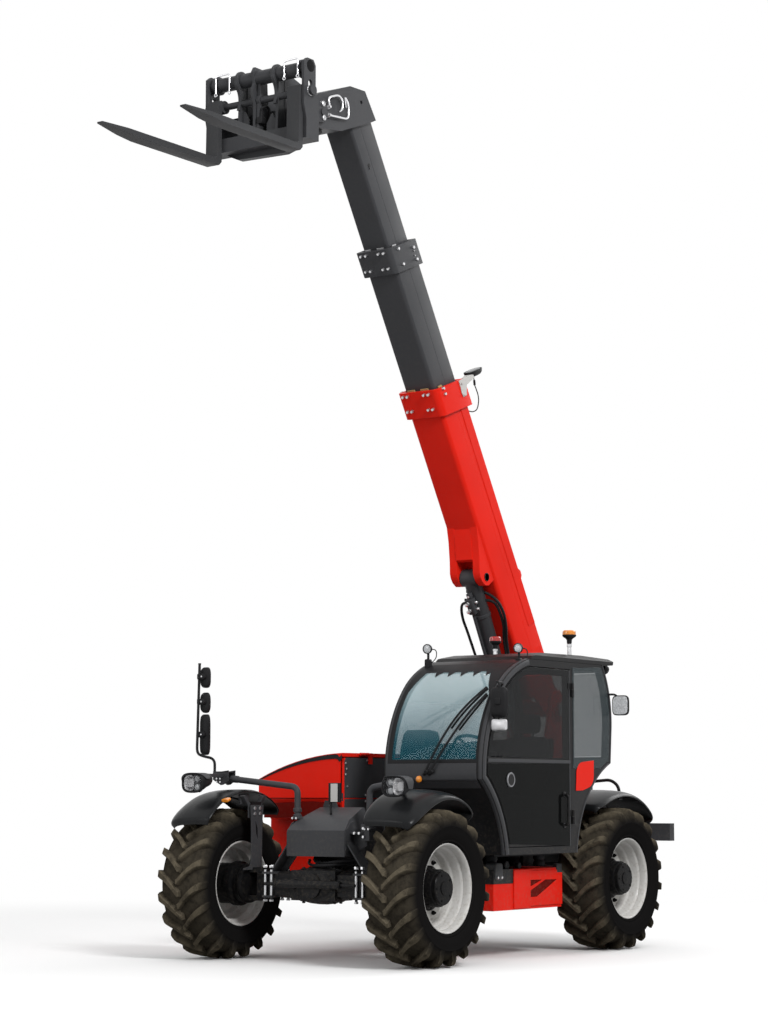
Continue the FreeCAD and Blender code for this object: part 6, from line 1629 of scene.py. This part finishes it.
def makeFrontBox(s):
    # a blank plate on a stalk, the box's own plates and bolts, and hoses to the axle
    softened("front_box", 0.006, "chassis", "paint_grey")
    softened("chassis_frame", 0.006, "chassis", "paint_red")
    plate = block((0.56, 0.5625), (0.0, 0.066), (1.231, 1.372))
    piece("plate_on_stalk", plate, "silverPaint", "chassis", "paint_grey", bevel=0.0008)
    stalk = [hose([(0.57, 0.01, 1.135), (0.552, -0.004, 1.17), (0.548, -0.008, 1.235)], 0.01, 0.02, 12),
             block((0.54, 0.557), (-0.026, 0.09), (1.226, 1.378))]
    piece("stalk", stalk, "blackPaint", bevel=0.003)
    # gussets with a round hole at the front corners
    gusset = [(0.7, 0.818), (0.757, 0.818), (0.757, 1.0), (0.69, 1.07), (0.64, 1.085)]
    rim = [(0.02, 0), (0.02, 0.004), (0.014, 0.004), (0.013, 0.001)]
    parts = []
    for side in (1, -1):
        low, high = sorted((side * 0.275, side * 0.281))
        parts += [slab(gusset, low, high, "y"), lathe(rim, (0.735, side * 0.281, 0.868), (0, side, 0), 24)]
    brace = [(0.281, 0.83), (0.4, 0.9), (0.4, 0.985), (0.281, 0.985)]
    parts += [block((0.56, 0.7), (0.272, 0.395), (0.985, 1.0)),
              block((0.6, 0.68), (0.372, 0.452), (0.935, 1.06)), slab(brace, 0.625, 0.637, "x")]
    piece("front_box_plates", parts, "greyPaint", bevel=0.003)
    places = [(0.701, y, 0.9925) for y in (0.33, 0.375)] + [(0.681, 0.4, z) for z in (0.965, 1.03)]
    piece("front_box_bolts", bolts(places, (1, 0, 0), 0.012, 0.012), "steel")
    lines = [carried(flowing(run, 36), circle(0.012, 10)) for run in s["hoses"]]
    piece("front_hoses", lines, "blackPlastic")


def makeAxle(name, s, way):
    # cast housing: a banjo that swells round the final drive, flanges with bolts, steering rod beside it
    x, z = s["axleX"][name], s["axleZ"]
    softened(name, 0.008, "chassis", "paint_black")
    profile = [(0.07, -0.47), (0.098, -0.46), (0.104, -0.34), (0.112, -0.2), (0.128, -0.18), (0.128, -0.15),
               (0.14, -0.09), (0.146, -0.01), (0.146, 0.06), (0.138, 0.13), (0.126, 0.16), (0.126, 0.19),
               (0.11, 0.205), (0.102, 0.34), (0.098, 0.46), (0.07, 0.47)]
    nose = [(0.118, 0.0), (0.118, 0.075), (0.112, 0.085), (0.108, 0.11), (0.07, 0.15), (0.062, 0.152),
            (0.058, 0.17), (0.02, 0.174)]
    ring = [(0.05, 0), (0.064, 0.004), (0.064, 0.02), (0.05, 0.026)]
    ram = [(0.024, -0.3), (0.032, -0.29), (0.032, 0.29), (0.024, 0.3)]
    ramX = x + way * 0.165
    parts = [lathe(profile, (x, 0, z), (0, 1, 0), 48), lathe(nose, (x, 0.03, z), (-way, 0, 0), 40),
             lathe(ram, (ramX, 0, z + 0.01), (0, 1, 0), 24)]
    parts += [bolts(boltCircle((x, y, z), 0.137, 10), (0, aim, 0), 0.009, 0.022)
              for y, aim in ((-0.152, 1), (0.162, -1))]
    parts += [lathe(ring, (x, side * 0.54, z), (0, side, 0), 36) for side in (1, -1)]
    near, far = x + way * 0.12, ramX
    parts += [cushion((near, -0.2, z - 0.03), (far, -0.14, z + 0.05), 0.006),
              cushion((min(near, far), 0.14, z - 0.03), (max(near, far), 0.2, z + 0.05), 0.006)]
    piece(name + "_housing", parts, "blackPaint", angle=32)
    rods = [carried([(ramX, side * 0.28, z + 0.01), (ramX, side * 0.43, z + 0.008)], circle(0.013, 16))
            for side in (1, -1)]
    piece(name + "_steer_rods", rods, "blackPaint", "chassis", "rod_chrome")


def makeClamps(s):
    # four pairs of threaded rods hold the front axle up, each with a nut at both ends
    softened("axle_clamps", 0.003, "chassis", "paint_grey")
    x, (low, high) = s["axleX"]["front_axle"], s["rodEnds"]
    spots = [(x + dx, side * y) for side in (1, -1) for dx in (-s["rodX"], s["rodX"]) for y in s["rodY"]]
    rods = [rod((*at, low), (*at, high), 0.0122) for at in spots]
    piece("clamp_rods", rods, "steel")
    nuts = [bolts([(*at, high + 0.016) for at in spots], (0, 0, 1), 0.018, 0.02),
            bolts([(*at, low - 0.017) for at in spots], (0, 0, -1), 0.018, 0.014)]
    piece("clamp_nuts", nuts, "steel")


makeHood()
makeBayWall(frontSet)
makeVents(frontSet)
makeFrontBox(frontSet)
makeAxle("front_axle", frontSet, 1)
makeAxle("rear_axle", frontSet, -1)
makeClamps(frontSet)
print("hood, front box and axles made")


# inside the cab
# each row of a pad: height, how far it leans back, half depth, half width, power
seat = {
    "x": (-1.31, -0.83), "y": (0.436, 0.906),
    "bottom": ((1.17, 0, 0.2, 0.19, 4), (1.185, 0, 0.222, 0.212, 4.4), (1.225, 0, 0.23, 0.222, 4.6),
               (1.262, 0, 0.224, 0.216, 4.2), (1.28, 0, 0.196, 0.188, 3.6), (1.284, 0, 0.12, 0.11, 3)),
    "back": ((1.27, 0.0, 0.052, 0.2, 3.6), (1.3, 0.004, 0.07, 0.215, 3.6), (1.42, 0.016, 0.078, 0.222, 3.6),
             (1.56, 0.036, 0.07, 0.218, 3.6), (1.68, 0.058, 0.062, 0.205, 3.6),
             (1.745, 0.07, 0.05, 0.18, 3.6), (1.762, 0.074, 0.026, 0.13, 3.6)),
    "head": ((1.79, 0, 0.024, 0.075, 3.2), (1.8, 0, 0.04, 0.112, 3.2), (1.87, 0, 0.046, 0.125, 3.2),
             (1.935, 0, 0.04, 0.112, 3.2), (1.948, 0, 0.02, 0.07, 3.2)),
}


def makePad(name, rows, x, y, replaces=()):
    # a cloth skin over rounded oblongs, one above the other
    shape = loft([(z, x - lean, y, deep, wide, power) for z, lean, deep, wide, power in rows], "z")
    return piece(name, shape, "seatFabric", angle=70, replaces=replaces)


def makeSeat(s):
    (x0, x1), (y0, y1) = s["x"], s["y"]
    u, middle = (x0 + x1) / 2 + 0.03, (y0 + y1) / 2
    item = makePad("seat_bottom", s["bottom"], u, middle, replaces=["operator_seat"])
    item = makePad("seat_back", s["back"], x0 + 0.085, middle)
    item = makePad("seat_head", s["head"], x0 + 0.015, middle)
    # base, bellows, head posts and armrests
    parts = [cushion((x0 + 0.03, y0 + 0.04, 0.872), (x1 - 0.04, y1 - 0.04, 0.93), 0.015),
             cushion((x0 + 0.05, y0 + 0.07, 1.08), (x1 - 0.03, y1 - 0.07, 1.18), 0.02)]
    for i in range(5):
        fold = 0.15 + 0.012 * (i % 2)
        bellow = [(fold, 0.0), (0.16, 0.01), (fold, 0.028)]
        parts.append(lathe(bellow, (u, middle, 0.935 + i * 0.029), (0, 0, 1), 24))
    parts += [hose([(x0 + 0.03, y, 1.745), (x0 + 0.026, y, 1.8)], 0.008)
              for y in (middle - 0.06, middle + 0.06)]
    for y in (y0 - 0.006, y1 + 0.006):
        parts.append(cushion((x0 + 0.11, y - 0.03, 1.4), (x0 + 0.4, y + 0.03, 1.448), 0.012))
        parts.append(hose([(x0 + 0.15, y, 1.41), (x0 + 0.11, y, 1.34), (x0 + 0.09, y, 1.3)], 0.016, 0.03))
    piece("seat_frame", parts, "blackPlastic", angle=40)


def torus(centre, axis, big, small):
    # a ring: a circle of radius small carried round a circle of radius big
    turn = around(12)
    e1, e2 = squareTo(axis)
    a = around(48)
    out = np.cos(a)[:, None] * e1 + np.sin(a)[:, None] * e2
    away, up = big + small * np.cos(turn), small * np.sin(turn)
    rise = unit(np.array(axis)) * up[None, :, None]
    points = np.array(centre) + out[:, None] * away[None, :, None] + rise
    return grid(points, closeRows=True, closeCols=True)


wheel = {
    "hub": (-0.5, 0.671, 1.64), "axis": (-0.62, 0, 0.78), "radius": 0.185, "grip": 0.0135,
    "column": ((-0.455, 0.671, 1.56), (-0.34, 0.671, 1.35), (-0.27, 0.671, 1.12), (-0.25, 0.671, 0.87)),
}


def steeringWheel(s):
    # rim, hub, three spokes and a column that widens to the floor
    hub, axis = np.array(s["hub"]), unit(np.array(s["axis"]))
    e1, e2 = squareTo(axis)
    parts = [torus(hub, axis, s["radius"], s["grip"]),
             lathe([(0.05, -0.03), (0.056, -0.01), (0.048, 0.012), (0.02, 0.018)], hub, axis, 28)]
    for a in np.radians((90, 210, 330)):
        out = math.cos(a) * e1 + math.sin(a) * e2
        spoke = [hub + out * 0.03, hub + out * 0.1 - axis * 0.006, hub + out * (s["radius"] - 0.003)]
        parts.append(carried(spoke, squircle(0.016, 0.006, count=10), side=np.cross(axis, out)))
    widen = np.interp(np.linspace(0, 1, 24), [0, 0.25, 1], [0.55, 0.95, 1.25])
    column = flowing([hub - axis * 0.02, *s["column"]], 24)
    return parts + [carried(column, squircle(0.06, 0.05, 3.4, 24), scale=widen)]


def makeControls():
    # dash with an instrument hood along the foot of the windscreen, side console, lever and pedal
    dash = [(-0.005, 1.47), (-0.02, 1.64), (-0.06, 1.76), (-0.11, 1.8), (-0.235, 1.785), (-0.26, 1.74),
            (-0.235, 1.6), (-0.2, 1.47)]
    sill = [(0.03, 1.4), (0.04, 1.52), (-0.03, 1.56), (-0.15, 1.57), (-0.2, 1.52), (-0.19, 1.4)]
    knob = [(0.012, 0), (0.026, 0.02), (0.028, 0.05), (0.018, 0.07), (0.006, 0.075)]
    pedal = [(-0.2, 0.87), (-0.58, 0.87), (-0.58, 0.885), (-0.24, 0.96), (-0.2, 0.96)]
    parts = steeringWheel(wheel)
    parts += [slab(dash, 0.262, 0.48, "y"), slab(sill, 0.262, 1.06, "y"),
              cushion((-0.64, 0.262, 1.23), (-1.18, 0.38, 1.42), 0.03),
              hose([(-0.8, 0.34, 1.41), (-0.79, 0.345, 1.52)], 0.01),
              lathe(knob, (-0.79, 0.345, 1.515), (0, 0, 1), 20), slab(pedal, 0.55, 0.64, "y")]
    piece("cab_controls", parts, "blackPlastic", bevel=0.003, angle=40, replaces=["steering_console"])
    screen = slab([(-0.262, 1.62), (-0.266, 1.62), (-0.292, 1.735), (-0.288, 1.735)], 0.285, 0.455, "y")
    piece("dash_screen", screen, "screenGlass")


def makeLining():
    # headlining, a panel behind the seat and the trim below the pane on the boom's side
    ceiling = [(-0.52, 2.26), (-0.98, 2.3), (-1.72, 2.3), (-1.72, 2.345), (-0.62, 2.345)]
    trim = [(-0.2, 1.5), (-0.475, 1.66), (-0.62, 1.7), (-1.74, 1.76), (-1.74, 1.2), (-1.4, 0.9),
            (-0.2, 0.9)]
    parts = [slab(ceiling, 0.27, 1.08, "y"), block((-1.835, -1.8), (0.27, 0.6), (1.545, 1.76)),
             slab(trim, 0.246, 0.258, "y")]
    piece("cab_lining", parts, "blackPlastic", bevel=0.004)


makeSeat(seat)
makeControls()
makeLining()
print("inside of the cab made")


# step box and rear
stepSet = {"mountX": (-0.42, -1.15), "mountY": (0.62, 0.86), "face": 0.9562, "clampBolts": (-0.34, -0.398)}


def makeMounts(s):
    # rubber mounts and their plates between the box and the cab
    profile = [(0.03, 0), (0.046, 0.006), (0.05, 0.03), (0.04, 0.05), (0.05, 0.07), (0.046, 0.094),
               (0.028, 0.1)]
    parts = [lathe(profile, (x, y, 0.706), (0, 0, 1), 28) for x in s["mountX"] for y in s["mountY"]]
    parts.append(block((-1.26, -0.34), (0.5, 0.94), (0.8, 0.814)))
    for x, z, r in ((-0.535, 0.728, 0.036), (-0.725, 0.722, 0.028)):
        disc = [(r * 0.5, 0), (r, 0.004), (r, 0.03), (r * 0.7, 0.034), (r * 0.4, 0.03)]
        parts.append(lathe(disc, (x, 0.905, z), (0, 1, 0), 28))
    piece("cab_mounts", parts, "blackPlastic", angle=40)


def makeStepBox(s):
    # a proud column, a bent edge and one slanted bar round a recess whose shade is a painted dark red
    # plate; a black block of painted shade on the front part; bolted blocks at both ends
    softened("step_box", 0.005, "chassis", "paint_red")
    softened("rear_body", 0.012, "chassis", "paint_grey")
    face = s["face"]
    column = [(-0.59, 0.385), (-0.842, 0.385), (-0.842, 0.694), (-0.59, 0.694)]
    upper = [(-0.842, 0.607), (-1.264, 0.6), (-1.264, 0.68), (-0.842, 0.68)]
    edge = [(-1.262, 0.657), (-1.345, 0.657), (-1.345, 0.4), (-0.842, 0.4), (-0.842, 0.47), (-0.95, 0.472),
            (-1.262, 0.6)]
    bar = [(-0.842, 0.52), (-0.842, 0.552), (-1.03, 0.604), (-1.08, 0.604)]
    strips = [slab(column, face, 0.968, "y")] + [
        slab(outline, face, 0.964, "y") for outline in (upper, edge, bar)]
    piece("step_column", strips, "redPaint", bevel=0.003)
    # painted shade: a dark red plate standing in for the shadow in the recess
    dark = [(-0.842, 0.455), (-1.275, 0.455), (-1.275, 0.662), (-0.842, 0.662)]
    piece("step_recess", slab(dark, face - 0.001, face + 0.0001, "y"), "redShade")
    # painted shade: a black block standing in for the shadow on the box's front part
    shade = block((-0.589, -0.2965), (0.204, 0.959), (0.588, 0.701))
    piece("step_front_shade", shade, "blackPaint", bevel=0.001)
    clamp = [cushion((-0.425, 0.87, 0.61), (-0.312, 0.968, 0.752), 0.008, "y"),
             block((-1.342, -1.262), (0.925, 0.962), (0.56, 0.726))]
    piece("step_block", clamp, "greyPaint", bevel=0.003)
    heads = bolts([(x, 0.968, 0.638) for x in s["clampBolts"]], (0, 1, 0), 0.012, 0.01)
    piece("step_bolts", heads, "steel")


def makeRearRail():
    # a bent handrail behind the cab
    line = [(-2.815, 0.4, 1.235), (-2.815, 0.4, 1.402), (-2.815, 0.6, 1.418), (-2.815, 0.68, 1.36),
            (-2.815, 0.684, 1.235)]
    rail = carried(rounded(line, 0.05, 8), circle(0.014, 14))
    piece("rear_rail", rail, "blackPaint")


makeMounts(stepSet)
makeStepBox(stepSet)
makeRearRail()
print("step box and rear made")


# studio
studio = {
    "floorRadius": 60.0, "floorColour": (0.86, 0.86, 0.86), "bounceColour": (0.3, 0.3, 0.3),
    "fadeStart": 5.0, "fadeEnd": 12.0, "horizon": 0.1, "zenith": 0.9,
}


def areaLight(name, place, target, size, power):
    # a square lamp that looks at a point
    data = bpy.data.lights.new(name, "AREA")
    data.size = size
    data.energy = power
    lamp = bpy.data.objects.new(name, data)
    bpy.context.collection.objects.link(lamp)
    lamp.location = place
    aim = Vector(target) - Vector(place)
    lamp.rotation_euler = aim.to_track_quat("-Z", "Y").to_euler()


def seenDirectly(tree):
    # 1 for rays from the camera and for those that reflect or pass through,
    # so gloss and glass show the backdrop
    path = tree.nodes.new("ShaderNodeLightPath")
    seen = path.outputs["Is Camera Ray"]
    for name in ("Is Glossy Ray", "Is Transmission Ray"):
        either = tree.nodes.new("ShaderNodeMath")
        either.operation = "MAXIMUM"
        tree.links.new(seen, either.inputs[0])
        tree.links.new(path.outputs[name], either.inputs[1])
        seen = either.outputs[0]
    return seen


def makeStudio(s):
    # a flat disc for the floor, which fades to plain white away from the machine
    turn = np.linspace(0, 2 * np.pi, 65)[:-1]
    ring = np.stack([np.cos(turn), np.sin(turn), turn * 0], -1) * s["floorRadius"]
    mesh = bpy.data.meshes.new("floor")
    mesh.from_pydata(ring.tolist(), [], [list(range(64))])
    floor = bpy.data.objects.new("floor", mesh)
    bpy.context.collection.objects.link(floor)
    f = Finish("floorFinish")
    seen = Term(f, seenDirectly(f.tree))
    f.set(BaseColor=f.blend(seen, s["bounceColour"], s["floorColour"]), Roughness=0.9)
    where = f.node("ShaderNodeTexCoord", {}, {}, "Object")
    away = f.node("ShaderNodeVectorMath", {"operation": "LENGTH"}, {0: where}, "Value")
    white = f.node("ShaderNodeEmission", {}, {"Color": (1, 1, 1), "Strength": 1.0})
    factor = away.between(s["fadeStart"], s["fadeEnd"]) * seen
    shader = Term(f, f.shader.outputs[0])
    mixed = f.node("ShaderNodeMixShader", {}, {0: factor, 1: shader, 2: white})
    f.feed(f.tree.nodes["Material Output"].inputs["Surface"], mixed)
    mesh.materials.append(f.material)
    world = bpy.data.worlds.new("studio")
    world.use_nodes = True
    bpy.context.scene.world = world
    tree = world.node_tree
    back = tree.nodes["Background"]
    level = tree.nodes.new("ShaderNodeMapRange")
    tree.links.new(seenDirectly(tree), level.inputs["Value"])
    # what lights the machine is dim at the horizon and bright overhead
    where = tree.nodes.new("ShaderNodeTexCoord")
    split = tree.nodes.new("ShaderNodeSeparateXYZ")
    sky = tree.nodes.new("ShaderNodeMapRange")
    tree.links.new(where.outputs["Generated"], split.inputs[0])
    tree.links.new(split.outputs["Z"], sky.inputs["Value"])
    sky.inputs["From Max"].default_value = 0.8
    sky.inputs["To Min"].default_value = s["horizon"]
    sky.inputs["To Max"].default_value = s["zenith"]
    tree.links.new(sky.outputs[0], level.inputs["To Min"])
    level.inputs["To Max"].default_value = 1.0
    tree.links.new(level.outputs[0], back.inputs["Strength"])
    back.inputs["Color"].default_value = (1, 1, 1, 1)
    areaLight("key", (7, 15, 13), (0, 0, 2), 5, 2600)
    areaLight("fill", (15, -6, 6), (0, 0, 2), 7, 420)
    areaLight("back", (-12, 2, 9), (0, 0, 3), 6, 500)


makeStudio(studio)
scene = bpy.context.scene
scene.view_settings.view_transform = "Standard"
print("studio lit")
